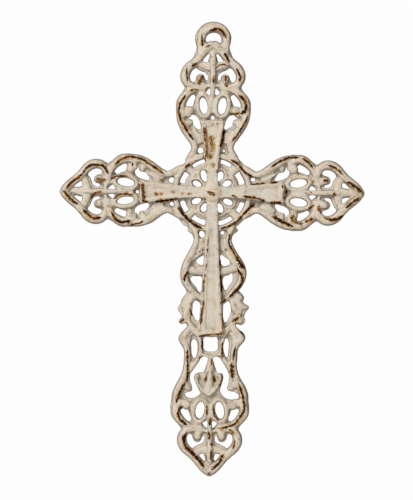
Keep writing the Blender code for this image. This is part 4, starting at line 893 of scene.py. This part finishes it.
def plate_edge():
    """The outer edge of the casting, clockwise from the left neck of the upper arm."""
    return (finial_run("top") + CORNERS["upper right"] + finial_run("right") +
            CORNERS["lower right"] + lowered(STEM_EDGE_RIGHT) + finial_run("foot") +
            lowered(STEM_EDGE_LEFT, -1)[::-1] + CORNERS["lower left"] + finial_run("left") +
            CORNERS["upper left"])


def oval(radii, count, half=None):
    """One of the two tilted ovals of a finial: its hole, its ring or the groove round it."""
    return ellipse(OVAL["centre"], radii, count, OVAL["tilt"], half)


def finial_holes(arm):
    """The openings of one finial."""
    halves = [TIP_HOLES.get(arm, TIP_HOLE), COMMA_HOLE, PAIR_HOLE, D_HOLE,
              oval(OVAL["hole"], OVAL_POINTS)]
    if arm != "foot":
        halves.append(TRIANGLE_HOLE)
    holes = [run for half in halves for run in arm_halves(half, arm)]
    for across, out, wide, high in SMALL_HOLES.get(arm, []):
        holes.append(turned(ellipse((across, out), (wide, high), SMALL_POINTS), arm))
    return holes


def wheel_holes():
    """The curved slots and the petal holes round the boss."""
    holes = []
    for radius, first, last, half in SLOTS:
        slot = []
        for reach, begin, end in ((radius + half, first, last), (radius - half, last, first)):
            for step in range(SLOT_STEPS + 1):
                turn = math.radians(begin + (end - begin) * step / SLOT_STEPS)
                slot.append((reach * math.cos(turn), reach * math.sin(turn)))
        holes.append(slot)
    for x, y, long, short, tilt in PETAL_HOLES:
        holes.append(ellipse((x, y), (long, short), PETAL_POINTS, tilt))
    return holes


def both_sides(right, left):
    """Stem carving drawn for each side, in its place."""
    return [lowered(points) for points in right] + [lowered(points, -1) for points in left]


def cast_plate(plate):
    """The openwork plate: the whole outline with every opening."""
    outlines = [plate_edge()]
    for arm in ARMS:
        outlines += finial_holes(arm)
    outlines += wheel_holes()
    outlines += both_sides(STEM_HOLES_RIGHT + [SQUARE_HOLE, FLEUR_HOLE_RIGHT],
                           STEM_HOLES_LEFT + [FLEUR_HOLE_LEFT])
    outlines.append(turned(EYE_HOLE, "top"))
    return slab("plate", outlines, -BACK_SPARE, plate)


def finial_relief(sections, plate, arm):
    """The strands, spine, leaves, veins, ovals and balls of one finial."""
    ridge, leaf = sections
    halves = [widened(TIP_RIM), widened(SCROLL), OVAL_TAIL, PAIR_LOOP]
    leaves, veins = [CROSS_LEAF], []
    if arm != "foot":
        halves.append(widened(RIM))
        leaves.append(RIM_SPUR)
        veins = LEAF_VEINS
    runs, flat, thin = ([run for half in group for run in arm_halves(half, arm)]
                        for group in (halves, leaves, veins))
    spine = turned(SPINES.get(arm, SPINE), arm)
    pieces = [strands(f"{arm} finial strands", ridge, plate, runs),
              strands(f"{arm} finial spine", ridge, plate + RISES["spine"], [spine]),
              strands(f"{arm} finial leaves", leaf, plate + RISES["leaf"],
                      flat + [turned(PETAL, arm)]),
              strands(f"{arm} finial veins", ridge, plate + RISES["vein"], thin),
              strands(f"{arm} finial ovals", ridge, plate + RISES["loop"],
                      arm_halves(oval(OVAL["ring"], OVAL_POINTS, OVAL["half"]), arm), closed=True)]
    if arm != "foot":
        pieces.append(strands(f"{arm} neck leaves", leaf, plate + RISES["neck leaf"],
                              arm_halves(NECK_LEAF, arm)))
    for across, out, radius, rise in BALLS:
        for side in (-1, 1):
            x, y, size = turned([(across * side, out, radius)], arm)[0]
            pieces.append(ball(f"{arm} curl ball", (x, y), size, plate, size * rise))
    return pieces


def wheel_relief(sections, plate):
    """The outer ring, a loop round each petal hole, an inner ring and four soft knots."""
    ridge, leaf = sections
    loops = []
    for x, y, long, short, tilt in PETAL_HOLES:
        reach = (long + LOOP_HALF, short + LOOP_HALF)
        loops.append(ellipse((x, y), reach, OVAL_POINTS, tilt, LOOP_HALF))
    knots = []
    for quarter in range(4):
        turn = math.radians(45 + 90 * quarter)
        knots.append([(out * math.cos(turn), out * math.sin(turn), half) for out, half in KNOT])
    return [strands("wheel ring", ridge, plate, [circle(RING_RADIUS, RING_HALF)], closed=True),
            strands("petal loops", ridge, plate + RISES["loop"], loops, closed=True),
            strands("inner ring", ridge, plate + RISES["knot"],
                    [circle(LOOP_RADIUS, LOOP_HALF)], closed=True),
            strands("wheel knots", leaf, plate + RISES["knot"], knots)]


def inner_cross(section, sizes):
    """The raised cross: its broad border, the shallow panels and the boss."""
    pieces = []
    face = sizes.cross_face / MM
    top = face - BORDER_CROWN
    for arm in ARMS:
        edge, panel = (SHAFT_EDGE, SHAFT_PANEL) if arm == "foot" else (CROSS_EDGE, CROSS_PANEL)
        place = lowered if arm == "foot" else lambda run, arm=arm: turned(run, arm)
        outline = place(edge[::-1] + mirrored(edge))
        sunk = place(panel[::-1] + mirrored(panel))
        pieces.append(slab(f"{arm} cross border", [outline, sunk], 0, top))
        pieces.append(slab(f"{arm} cross panel", [outline], 0, top - sizes.panel_depth / MM))
        inset = [(across - BORDER, out, BORDER) for across, out in edge[2:-2]]
        corner, last = edge[-2][0], edge[-1][1] - BORDER
        end = [(corner - CROWN_CORNER * BORDER, last - CROWN_DIP, BORDER),
               (corner / 2, last, BORDER)]
        crown = inset + end + mirrored((inset + end)[::-1])
        pieces.append(strands(f"{arm} border crown", section, face - BORDER, [place(crown)]))
    shoulder = sizes.boss_face / MM - BOSS_DOME
    pieces.append(slab("boss drum", [circle(BOSS_RADIUS)], 0, shoulder))
    pieces.append(ball("boss dome", (0, 0), BOSS_RADIUS, shoulder - DOME_SINK,
                       BOSS_DOME + DOME_SINK))
    return pieces


def stem_relief(sections, plate):
    """The strands, bars, leaves, veins and small fleur-de-lis of the stem."""
    ridge, leaf = sections
    runs = both_sides([widened(points) for points in STEM_STRANDS_RIGHT],
                      [widened(points) for points in STEM_STRANDS_LEFT])
    leaves = both_sides(STEM_LEAVES_RIGHT + [FLEUR_SPEAR], STEM_LEAVES_LEFT)
    veins = both_sides(STEM_VEINS_RIGHT, STEM_VEINS_LEFT)
    pieces = [strands("stem strands", ridge, plate, runs + both_sides(STEM_BARS, [])),
              strands("stem neck leaves", leaf, plate + RISES["neck leaf"],
                      both_sides([STEM_NECK_LEAF], [STEM_NECK_LEAF])),
              strands("stem leaves", leaf, plate + RISES["leaf"], leaves),
              strands("stem veins", ridge, plate + RISES["vein"], veins)]
    for x, y, size in lowered(FLEUR_BALLS):
        pieces.append(ball("fleur ball", (x, y), size, plate, size))
    return pieces


def eye_relief(section, plate):
    """The eye's broad band, with its crest near the hole."""
    return [strands("eye band", section, plate + RISES["eye band"], [turned(EYE_BAND, "top")]),
            strands("eye crest", section, plate + RISES["eye crest"], [turned(EYE_CREST, "top")])]


def gathered(pieces):
    """One mesh of all the pieces, and the pieces removed."""
    everything = bmesh.new()
    depsgraph = bpy.context.evaluated_depsgraph_get()
    for piece in pieces:
        mesh = bpy.data.meshes.new_from_object(piece.evaluated_get(depsgraph))
        mesh.transform(piece.matrix_world)
        everything.from_mesh(mesh)
        bpy.data.meshes.remove(mesh)
    bmesh.ops.remove_doubles(everything, verts=everything.verts, dist=WELD)
    for piece in pieces:
        bpy.data.objects.remove(piece)
    mesh = bpy.data.meshes.new("iron_casting")
    everything.to_mesh(mesh)
    everything.free()
    return mesh


def applied(piece):
    """Give the piece the mesh that its modifiers make, and take them off."""
    bpy.context.view_layer.update()
    depsgraph = bpy.context.evaluated_depsgraph_get()
    mesh = bpy.data.meshes.new_from_object(piece.evaluated_get(depsgraph))
    piece.modifiers.clear()
    old, piece.data = piece.data, mesh
    bpy.data.meshes.remove(old)


def places_and_normals(mesh):
    """The mesh's points and normals as arrays, in metres."""
    count = len(mesh.vertices)
    places = np.empty(count * 3, np.float32)
    normals = np.empty(count * 3, np.float32)
    mesh.vertices.foreach_get("co", places)
    mesh.vertex_normals.foreach_get("vector", normals)
    return places.reshape(-1, 3).astype(float), normals.reshape(-1, 3).astype(float)


def drawn_flat(places, bearing):
    """Places of the standing casting in the drawing plane; bearing is the origin's height there."""
    return np.column_stack([places[:, 0] / MM, places[:, 2] / MM + bearing])


def facing(normals):
    """How squarely each point faces the viewer, from 0 to 1."""
    return np.clip(-normals[:, 1], 0, 1)


def sampled(points):
    """A smooth run through points, sampled evenly: places, directions, share of its length."""
    knots = np.array(points, float)
    if len(knots) == 2:
        knots = np.array([knots[0], (knots[0] + knots[1]) / 2, knots[1]])
    padded = np.vstack([2 * knots[0] - knots[1], knots, 2 * knots[-1] - knots[-2]])
    run = []
    for p0, p1, p2, p3 in zip(padded, padded[1:], padded[2:], padded[3:]):
        steps = max(2, int(np.linalg.norm(p2 - p1) / LINE_SPACING))
        for t in np.arange(steps) / steps:
            run.append(0.5 * (2 * p1 + (p2 - p0) * t + (2 * p0 - 5 * p1 + 4 * p2 - p3) * t ** 2 +
                              (3 * p1 - p0 - 3 * p2 + p3) * t ** 3))
    run.append(knots[-1])
    run = np.array(run)
    steps = np.gradient(run, axis=0)
    directions = steps / np.maximum(np.linalg.norm(steps, axis=1, keepdims=True), 1e-9)
    return run, directions, np.linspace(0, 1, len(run))


def nearest_of(lines, flat):
    """For each flat point, what the nearest sample of the lines says.

    Each line is (values, points); its values are repeated at every sample, the first of them, a
    half width, tapered towards the line's two ends. The answer is the offset to the line's left,
    how far past the sample the point lies along the line, its distance, and the values there.
    """
    places, directions, values = [], [], []
    for (half, *given), points in lines:
        run, heading, share = sampled(points)
        taper = np.clip(np.minimum(share, 1 - share) * TAPER_RATE + TAPER_END, 0, 1)
        for place, way, narrow in zip(run, heading, taper):
            places.append(place)
            directions.append(way)
            values.append((half * narrow, *given))
    tree = KDTree(len(places))
    for index, place in enumerate(places):
        tree.insert((place[0], place[1], 0.0), index)
    tree.balance()
    found = np.array([tree.find((x, y, 0.0))[1] for x, y in flat])
    away = flat - np.array(places)[found]
    heading = np.array(directions)[found]
    offset = heading[:, 0] * away[:, 1] - heading[:, 1] * away[:, 0]
    along = np.abs(heading[:, 0] * away[:, 0] + heading[:, 1] * away[:, 1])
    past = np.maximum(along - LINE_END, 0)
    return offset, past, np.hypot(away[:, 0], away[:, 1]), np.array(values)[found]


def fade(name, measure):
    """Zero below the first of the named limits, one above the second, and smooth between."""
    low, high = FADES[name]
    t = np.clip((measure - low) / (high - low), 0, 1)
    return t * t * (3 - 2 * t)


def edge_pairs(mesh):
    """The two ends of every edge of the mesh."""
    pairs = np.empty(len(mesh.edges) * 2, np.int32)
    mesh.edges.foreach_get("vertices", pairs)
    return pairs.reshape(-1, 2)


def relaxed(pairs, values, rounds):
    """Values averaged with their neighbours' along the mesh's edges, rounds times over."""
    count = len(values)
    weight = np.bincount(pairs.ravel(), minlength=count).astype(float)
    for turn in range(rounds):
        columns = []
        for column in values.T:
            total = (np.bincount(pairs[:, 0], column[pairs[:, 1]], count) +
                     np.bincount(pairs[:, 1], column[pairs[:, 0]], count))
            columns.append(total / np.maximum(weight, 1))
        values = (1 - NEIGHBOUR_SHARE) * values + NEIGHBOUR_SHARE * np.array(columns).T
    return values


def wandering(places, size, seed):
    """A smooth random height at each place, with swells about size metres across."""
    rng = np.random.default_rng(seed)
    height = np.zeros(len(places))
    for wave in range(WAVES):
        way = rng.normal(size=3)
        way /= np.linalg.norm(way)
        pitch = size * rng.uniform(*WAVE_SPREAD)
        height += np.sin(places @ way * (2 * math.pi / pitch) + rng.uniform(0, 2 * math.pi))
    return height / WAVES ** 0.5


def ring_grooves():
    """A groove round each oval ring, where it meets its neighbours."""
    loop = oval([radius + OVAL["half"] for radius in OVAL["ring"]], ROUND_POINTS)
    return [(RING_GROOVE, run) for arm in ARMS for run in arm_halves(loop + loop[:1], arm)]


def tooled(mesh, bearing, sizes):
    """Sink the grooves and dents, let the face wander, slope the walls and lay the back flat."""
    places, normals = places_and_normals(mesh)
    offset, past, distance, value = nearest_of(GROOVES + ring_grooves(),
                                               drawn_flat(places, bearing))
    reach = np.hypot(past, offset) / np.maximum(value[:, 0], GROOVE_LEAST)
    sink = value[:, 1] * np.exp(-0.5 * reach ** 2) * fade("groove by facing", facing(normals))
    places[:, 1] += np.where(distance < GROOVE_REACH, sink, 0) * MM
    swell = sum(share * wandering(places, size, seed) for share, size, seed in SWELLS)
    wander = swell * sizes.unevenness * fade("swell by facing", -normals[:, 1])
    places += normals * wander[:, None]
    pairs = edge_pairs(mesh)
    sideways = relaxed(pairs, normals, WALL_ROUNDS) * np.array([1.0, 0.0, 1.0])
    steep = fade("wall by tilt", np.linalg.norm(sideways, axis=1))
    rise = np.minimum(-places[:, 1], sizes.plate * DRAFT_TOP) * steep
    places -= sideways * (rise * sizes.draft)[:, None]
    places = relaxed(pairs, places, 1)
    places[:, 1] = np.minimum(places[:, 1], 0)
    mesh.vertices.foreach_set("co", places.astype(np.float32).ravel())
    mesh.update()


def set_values(mesh, name, values):
    """Store one number a point for the paint's shader to read."""
    layer = mesh.attributes.new(name, "FLOAT", "POINT")
    layer.data.foreach_set("value", values.astype(np.float32))


def worn(mesh, bearing):
    """Measure the wear on worn lines and crests, the stains, and painted shade in hollows and on
    walls.
    """
    places, normals = places_and_normals(mesh)
    pairs = edge_pairs(mesh)
    front = facing(normals)
    flat = drawn_flat(places, bearing)
    offset, past, distance, value = nearest_of(WORN_LINES, flat)
    half = np.maximum(value[:, 0] - past, 0)
    half *= 1 - fade("line by distance", distance)
    half *= fade("line by facing", front)
    set_values(mesh, "line_offset", offset)
    set_values(mesh, "line_half", half)
    set_values(mesh, "line_dark", value[:, 1])
    stain = {"orange": np.zeros(len(flat)), "olive": np.zeros(len(flat))}
    for colour, radius, strength, x, y in STAINS:
        away = np.hypot(flat[:, 0] - x, flat[:, 1] - y) / radius
        stain[colour] = np.maximum(stain[colour], strength * (1 - fade("stain by distance", away)))
    for colour, strength in stain.items():
        set_values(mesh, f"stain_{colour}", strength * front)
    broad = relaxed(pairs, places, BROAD_ROUNDS)
    height = np.sum((places - broad) * normals, axis=1)[:, None]
    proud = relaxed(pairs, height, PROUD_ROUNDS)[:, 0] / MM
    set_values(mesh, "crest", fade("crest by height", proud) * fade("crest by facing", front))
    # Where shade is painted: the hollows, which lie below the broad form of the casting
    set_values(mesh, "hollow", fade("hollow by depth", -proud))
    # and the walls that face sideways, where shade is painted too; the flat back is left out
    behind = fade("back by facing", normals[:, 1])
    set_values(mesh, "flank", (1 - fade("flank by facing", front)) * (1 - behind))


def fused(casting, sizes):
    """Fuse the strands into one skin and round off its corners."""
    fuse = casting.modifiers.new("fuse", "REMESH")
    fuse.mode = "VOXEL"
    fuse.voxel_size = sizes.grain
    soften = casting.modifiers.new("soften", "SMOOTH")
    soften.factor = SOFTEN_FACTOR
    soften.iterations = SOFTEN_ROUNDS
    applied(casting)


def thinned(casting, sizes):
    """Bring the skin down to the triangles that it may have, with its back still flat."""
    triangles = sum(len(face.vertices) - 2 for face in casting.data.polygons)
    thin = casting.modifiers.new("thin", "DECIMATE")
    thin.ratio = min(1.0, sizes.faces / triangles)
    applied(casting)
    for point in casting.data.vertices:
        point.co.y = min(point.co.y, 0.0)
    casting.data.polygons.foreach_set("use_smooth", [True] * len(casting.data.polygons))


def iron_casting(sizes):
    """The whole cross as one fine casting, stood up with its flat back in the plane Y = 0."""
    plate = sizes.plate / MM
    sections = section_of("ridge section", RIDGE), section_of("leaf section", LEAF)
    pieces = [cast_plate(sizes.web / MM)]
    for arm in ARMS:
        pieces += finial_relief(sections, plate, arm)
    pieces += wheel_relief(sections, plate) + inner_cross(sections[0], sizes)
    pieces += stem_relief(sections, plate) + eye_relief(sections[0], plate)
    mesh = gathered(pieces)
    for section in sections:
        bpy.data.objects.remove(section)
    bearing = max(height for across, height in turned(EYE_HOLE, "top"))
    mesh.transform(Matrix.Rotation(math.radians(90), 4, "X") @
                   Matrix.Translation(Vector((0, -bearing * MM, 0))))
    casting = linked("iron_casting", mesh)
    fused(casting, sizes)
    tooled(casting.data, bearing, sizes)
    thinned(casting, sizes)
    worn(casting.data, bearing)
    return casting


class Paintwork:
    """Small helpers that put nodes into one material and join them."""

    def __init__(self, tree):
        self.tree = tree

    def feed(self, socket, source):
        """Join a socket to a source, or set it to a number or a colour."""
        if isinstance(source, bpy.types.NodeSocket):
            self.tree.links.new(source, socket)
        else:
            socket.default_value = source

    def measured(self, name):
        """A number stored on the casting's points."""
        node = self.tree.nodes.new("ShaderNodeAttribute")
        node.attribute_name = name
        return node.outputs["Fac"]

    def noise(self, place, size, detail, roughness):
        """Noise whose blots are about size millimetres across."""
        node = self.tree.nodes.new("ShaderNodeTexNoise")
        for name, source in (("Vector", place), ("Scale", 1.0 / (size * MM)), ("Detail", detail),
                             ("Roughness", roughness)):
            self.feed(node.inputs[name], source)
        return node.outputs["Fac"]

    def sum_of(self, operation, first, second=0.0, third=0.0):
        """One step of arithmetic."""
        node = self.tree.nodes.new("ShaderNodeMath")
        node.operation = operation
        for socket, source in zip(node.inputs, (first, second, third)):
            self.feed(socket, source)
        return node.outputs["Value"]

    def times(self, product, *sources):
        """Everything given multiplied together."""
        for source in sources:
            product = self.sum_of("MULTIPLY", product, source)
        return product

    def eased(self, value, name):
        """Bring a value smoothly from one range to another, as the named row of EASES says."""
        node = self.tree.nodes.new("ShaderNodeMapRange")
        node.interpolation_type = "SMOOTHSTEP"
        low, high, out_low, out_high = EASES[name]
        for socket, source in (("Value", value), ("From Min", low), ("From Max", high),
                               ("To Min", out_low), ("To Max", out_high)):
            self.feed(node.inputs[socket], source)
        return node.outputs["Result"]

    def blend(self, factor, under, over):
        """One colour laid over another by a mask."""
        node = self.tree.nodes.new("ShaderNodeMix")
        node.data_type = "RGBA"
        sockets = {socket.identifier: socket for socket in node.inputs}
        self.feed(sockets["Factor_Float"], factor)
        self.feed(sockets["A_Color"], under)
        self.feed(sockets["B_Color"], over)
        return next(socket for socket in node.outputs if socket.identifier == "Result_Color")


def aged_paint_and_painted_shade(work, noise, tint):
    """The whole paint: warm clouds, grey specks, painted shade in hollows and flanks, tan crests.
    """
    colour = work.blend(work.eased(noise["clouds"], "warm clouds"), tint["paint"], tint["aged"])
    colour = work.blend(work.eased(noise["mottle"], "grey specks"), colour, tint["shade"])
    # Painted shade: the paint darkened towards the shade tint in the hollows and on the walls,
    # standing in for the shadow there
    for name, share in PAINTED_SHADE.items():
        colour = work.blend(work.times(work.measured(name), share), colour, tint["shade"])
    blush = work.times(work.measured("crest"), work.eased(noise["blots"], "blush in blots"),
                       work.eased(noise["mottle"], "blush in specks"))
    return work.blend(blush, colour, tint["blush"])


def stained(work, colour, noise, tint):
    """Rust that has bled through the paint in spots."""
    for name, stain_tint in (("stain_olive", "olive"), ("stain_orange", "rust")):
        stain = work.measured(name)
        spots = work.times(work.eased(stain, "stain"),
                           work.sum_of("ADD", stain, noise["grain"]))
        colour = work.blend(work.eased(spots, "stain spots"), colour, tint[stain_tint])
    return colour


def worn_through(work, colour, noise, tint, wear):
    """The worn lines: dark iron in brown scale, in a broken fringe of rust and thin paint.

    Gives the colour and a mask of the iron.
    """
    offset = work.sum_of("ABSOLUTE", work.measured("line_offset"))
    half = work.times(work.measured("line_half"), wear)
    broken = work.times(work.eased(noise["dashes"], "line in dashes"),
                        work.eased(noise["mottle"], "line in specks"))
    edge = work.sum_of("SUBTRACT", work.times(half, broken), offset)
    grit = work.sum_of("ADD", noise["grain"], work.measured("line_dark"))
    core = work.times(work.eased(edge, "iron by width"), work.eased(grit, "iron by grit"))
    deep = work.times(work.eased(edge, "bare by width"), work.eased(grit, "bare by grit"))
    spread = work.sum_of("MULTIPLY_ADD", half, work.eased(noise["blots"], "fringe width"),
                         -FRINGE_INSET)
    fringe = work.eased(work.sum_of("SUBTRACT", spread, offset), "fringe")
    colour = work.blend(work.times(fringe, FRINGE_BLUSH), colour, tint["blush"])
    rusty = work.times(fringe, work.eased(noise["mottle"], "fringe in specks"))
    colour = work.blend(rusty, colour, tint["rust"])
    iron = work.blend(work.eased(grit, "scale by grit"), tint["rust"], tint["scale"])
    iron = work.blend(deep, iron, tint["bare"])
    return work.blend(core, colour, iron), core


def chipped(work, colour, noise, tint):
    """Small chips on the crests and pits anywhere. Gives the colour and a mask of them."""
    chips = work.times(work.eased(noise["flecks"], "chips"),
                       work.eased(work.measured("crest"), "chips by crest"),
                       work.eased(noise["blots"], "chips in blots"))
    pits = work.times(work.eased(noise["flecks"], "pits"), PIT_SHARE)
    chips = work.sum_of("MAXIMUM", chips, pits)
    floor = work.blend(work.eased(noise["dashes"], "chip floor"), tint["rust"], tint["bare"])
    return work.blend(work.times(chips, CHIP_SHARE), colour, floor), chips


def painted_iron(finish):
    """Antique white paint over cast iron, worn through to dark iron and rust."""
    material = bpy.data.materials.new("painted_iron")
    material.use_nodes = True
    tree = material.node_tree
    shader = tree.nodes["Principled BSDF"]
    work = Paintwork(tree)
    place = tree.nodes.new("ShaderNodeTexCoord").outputs["Object"]
    noise = {name: work.noise(place, *values) for name, values in NOISES.items()}
    sand, flecks = noise["sand"], noise["flecks"]
    noise["mottle"] = work.sum_of("MULTIPLY_ADD", sand, SAND_SHARE,
                                  work.times(flecks, 1 - SAND_SHARE))
    noise["grain"] = work.times(work.sum_of("SUBTRACT", noise["mottle"], 0.5), GRAIN_GAIN)
    tint = {name: (*getattr(finish, name), 1.0) for name in TINTS}

    colour = aged_paint_and_painted_shade(work, noise, tint)
    colour = stained(work, colour, noise, tint)
    colour, core = worn_through(work, colour, noise, tint, finish.wear)
    colour, chips = chipped(work, colour, noise, tint)
    work.feed(shader.inputs["Base Color"], colour)

    gone = work.sum_of("MAXIMUM", core, chips)
    roughness = work.sum_of("MULTIPLY_ADD", work.sum_of("SUBTRACT", noise["blots"], 0.5),
                            ROUGHNESS_SWING, work.eased(gone, "roughness"))
    work.feed(shader.inputs["Roughness"], roughness)
    shader.inputs["Specular IOR Level"].default_value = SHEEN
    height = work.sum_of("MULTIPLY_ADD", sand, SAND_HEIGHT, work.times(flecks, FLECK_HEIGHT))
    height = work.sum_of("MULTIPLY_ADD", gone, -PAINT_HEIGHT, height)
    bump = tree.nodes.new("ShaderNodeBump")
    bump.inputs["Strength"].default_value = 1.0
    bump.inputs["Distance"].default_value = MM
    work.feed(bump.inputs["Height"], height)
    work.feed(shader.inputs["Normal"], bump.outputs["Normal"])
    return material


def floor_white():
    """Matt white of the floor."""
    material = bpy.data.materials.new("floor white")
    material.use_nodes = True
    shader = material.node_tree.nodes["Principled BSDF"]
    shader.inputs["Base Color"].default_value = (*FLOOR_COLOUR, 1.0)
    shader.inputs["Roughness"].default_value = FLOOR_ROUGHNESS
    return material


def soft_light(name, power, size, offset):
    """A square soft light, offset from the middle of the view, that faces it."""
    lamp = bpy.data.lights.new(name, "AREA")
    lamp.energy = power
    lamp.size = size
    holder = linked(name, lamp)
    holder.location = Vector(VIEW_MIDDLE) + Vector(offset)
    holder.rotation_euler = (-Vector(offset)).to_track_quat("-Z", "Y").to_euler()


def white_surroundings(scene):
    """A world that looks white to the camera and lights the cross only softly."""
    world = bpy.data.worlds.new("white surroundings")
    scene.world = world
    world.use_nodes = True
    tree = world.node_tree
    soft = tree.nodes["Background"]
    seen = tree.nodes.new("ShaderNodeBackground")
    for shader, colour, strength in ((soft, SOFT_WHITE, SOFT_STRENGTH), (seen, SEEN_WHITE, 1.0)):
        shader.inputs["Color"].default_value = (*colour, 1.0)
        shader.inputs["Strength"].default_value = strength
    path = tree.nodes.new("ShaderNodeLightPath")
    either = tree.nodes.new("ShaderNodeMixShader")
    tree.links.new(path.outputs["Is Camera Ray"], either.inputs["Fac"])
    tree.links.new(soft.outputs["Background"], either.inputs[1])
    tree.links.new(seen.outputs["Background"], either.inputs[2])
    tree.links.new(either.outputs["Shader"], tree.nodes["World Output"].inputs["Surface"])


def level_camera(look):
    """The camera, straight in front of the cross and rolled by VIEW_ROLL."""
    lens = bpy.data.cameras.new("camera")
    lens.sensor_width = SENSOR_WIDTH
    lens.lens = lens.sensor_width * look.distance / look.view_height
    lens.clip_end = CLIP_END
    camera = linked("camera", lens)
    camera.matrix_world = (
        Matrix.Translation(Vector(VIEW_MIDDLE) + Vector((0, -look.distance, 0))) @
        Matrix.Rotation(math.radians(90), 4, "X") @
        Matrix.Rotation(math.radians(VIEW_ROLL), 4, "Z"))
    return camera


class WALLCROSS_OT_casting(bpy.types.Operator):
    """Build the iron casting, measure its wear and paint it"""
    bl_idname = "wall_cross.casting"
    bl_label = "Iron casting"

    def execute(self, context):
        casting = iron_casting(context.scene.wall_cross_sizes)
        casting.data.materials.clear()
        casting.data.materials.append(painted_iron(context.scene.wall_cross_paint))
        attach(casting, "root")
        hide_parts("cross")
        return {"FINISHED"}


class WALLCROSS_OT_stage(bpy.types.Operator):
    """Set out the floor, the soft lights, the white surroundings and the camera"""
    bl_idname = "wall_cross.stage"
    bl_label = "Stage"

    def execute(self, context):
        look = context.scene.wall_cross_studio
        low, high = CAD_BOX
        bpy.ops.mesh.primitive_plane_add(
            size=FLOOR_SIZE, location=(0, 0, low.z - look.floor_drop))
        floor = context.object
        floor.name = "floor"
        floor.data.materials.append(floor_white())
        soft_light("key light", look.key, *KEY_PLACE)
        soft_light("fill light", look.fill, *FILL_PLACE)
        white_surroundings(context.scene)
        context.scene.camera = level_camera(look)
        context.scene.view_settings.view_transform = "Standard"
        return {"FINISHED"}


class WALLCROSS_PT_panel(bpy.types.Panel):
    """The wall cross's sizes, paint and stage"""
    bl_label = "Wall cross"
    bl_idname = "WALLCROSS_PT_panel"
    bl_space_type = "VIEW_3D"
    bl_region_type = "UI"
    bl_category = "Wall cross"

    def draw(self, context):
        layout = self.layout
        for holder in (context.scene.wall_cross_sizes, context.scene.wall_cross_paint,
                       context.scene.wall_cross_studio):
            column = layout.column()
            for name in holder.__annotations__:
                column.prop(holder, name)
        for operator in (WALLCROSS_OT_casting, WALLCROSS_OT_stage):
            layout.operator(operator.bl_idname)


CLASSES = (CastingSizes, PaintFinish, StudioLook, WALLCROSS_OT_casting, WALLCROSS_OT_stage,
           WALLCROSS_PT_panel)


def register():
    """Register the classes and hang their settings on the scene."""
    for item in CLASSES:
        bpy.utils.register_class(item)
    bpy.types.Scene.wall_cross_sizes = PointerProperty(type=CastingSizes)
    bpy.types.Scene.wall_cross_paint = PointerProperty(type=PaintFinish)
    bpy.types.Scene.wall_cross_studio = PointerProperty(type=StudioLook)


def unregister():
    """Take the settings and the classes away again."""
    del bpy.types.Scene.wall_cross_studio
    del bpy.types.Scene.wall_cross_paint
    del bpy.types.Scene.wall_cross_sizes
    for item in reversed(CLASSES):
        bpy.utils.unregister_class(item)


def main():
    """Build everything in order."""
    register()
    bpy.ops.wall_cross.casting()
    bpy.ops.wall_cross.stage()


if __name__ == "__main__":
    main()
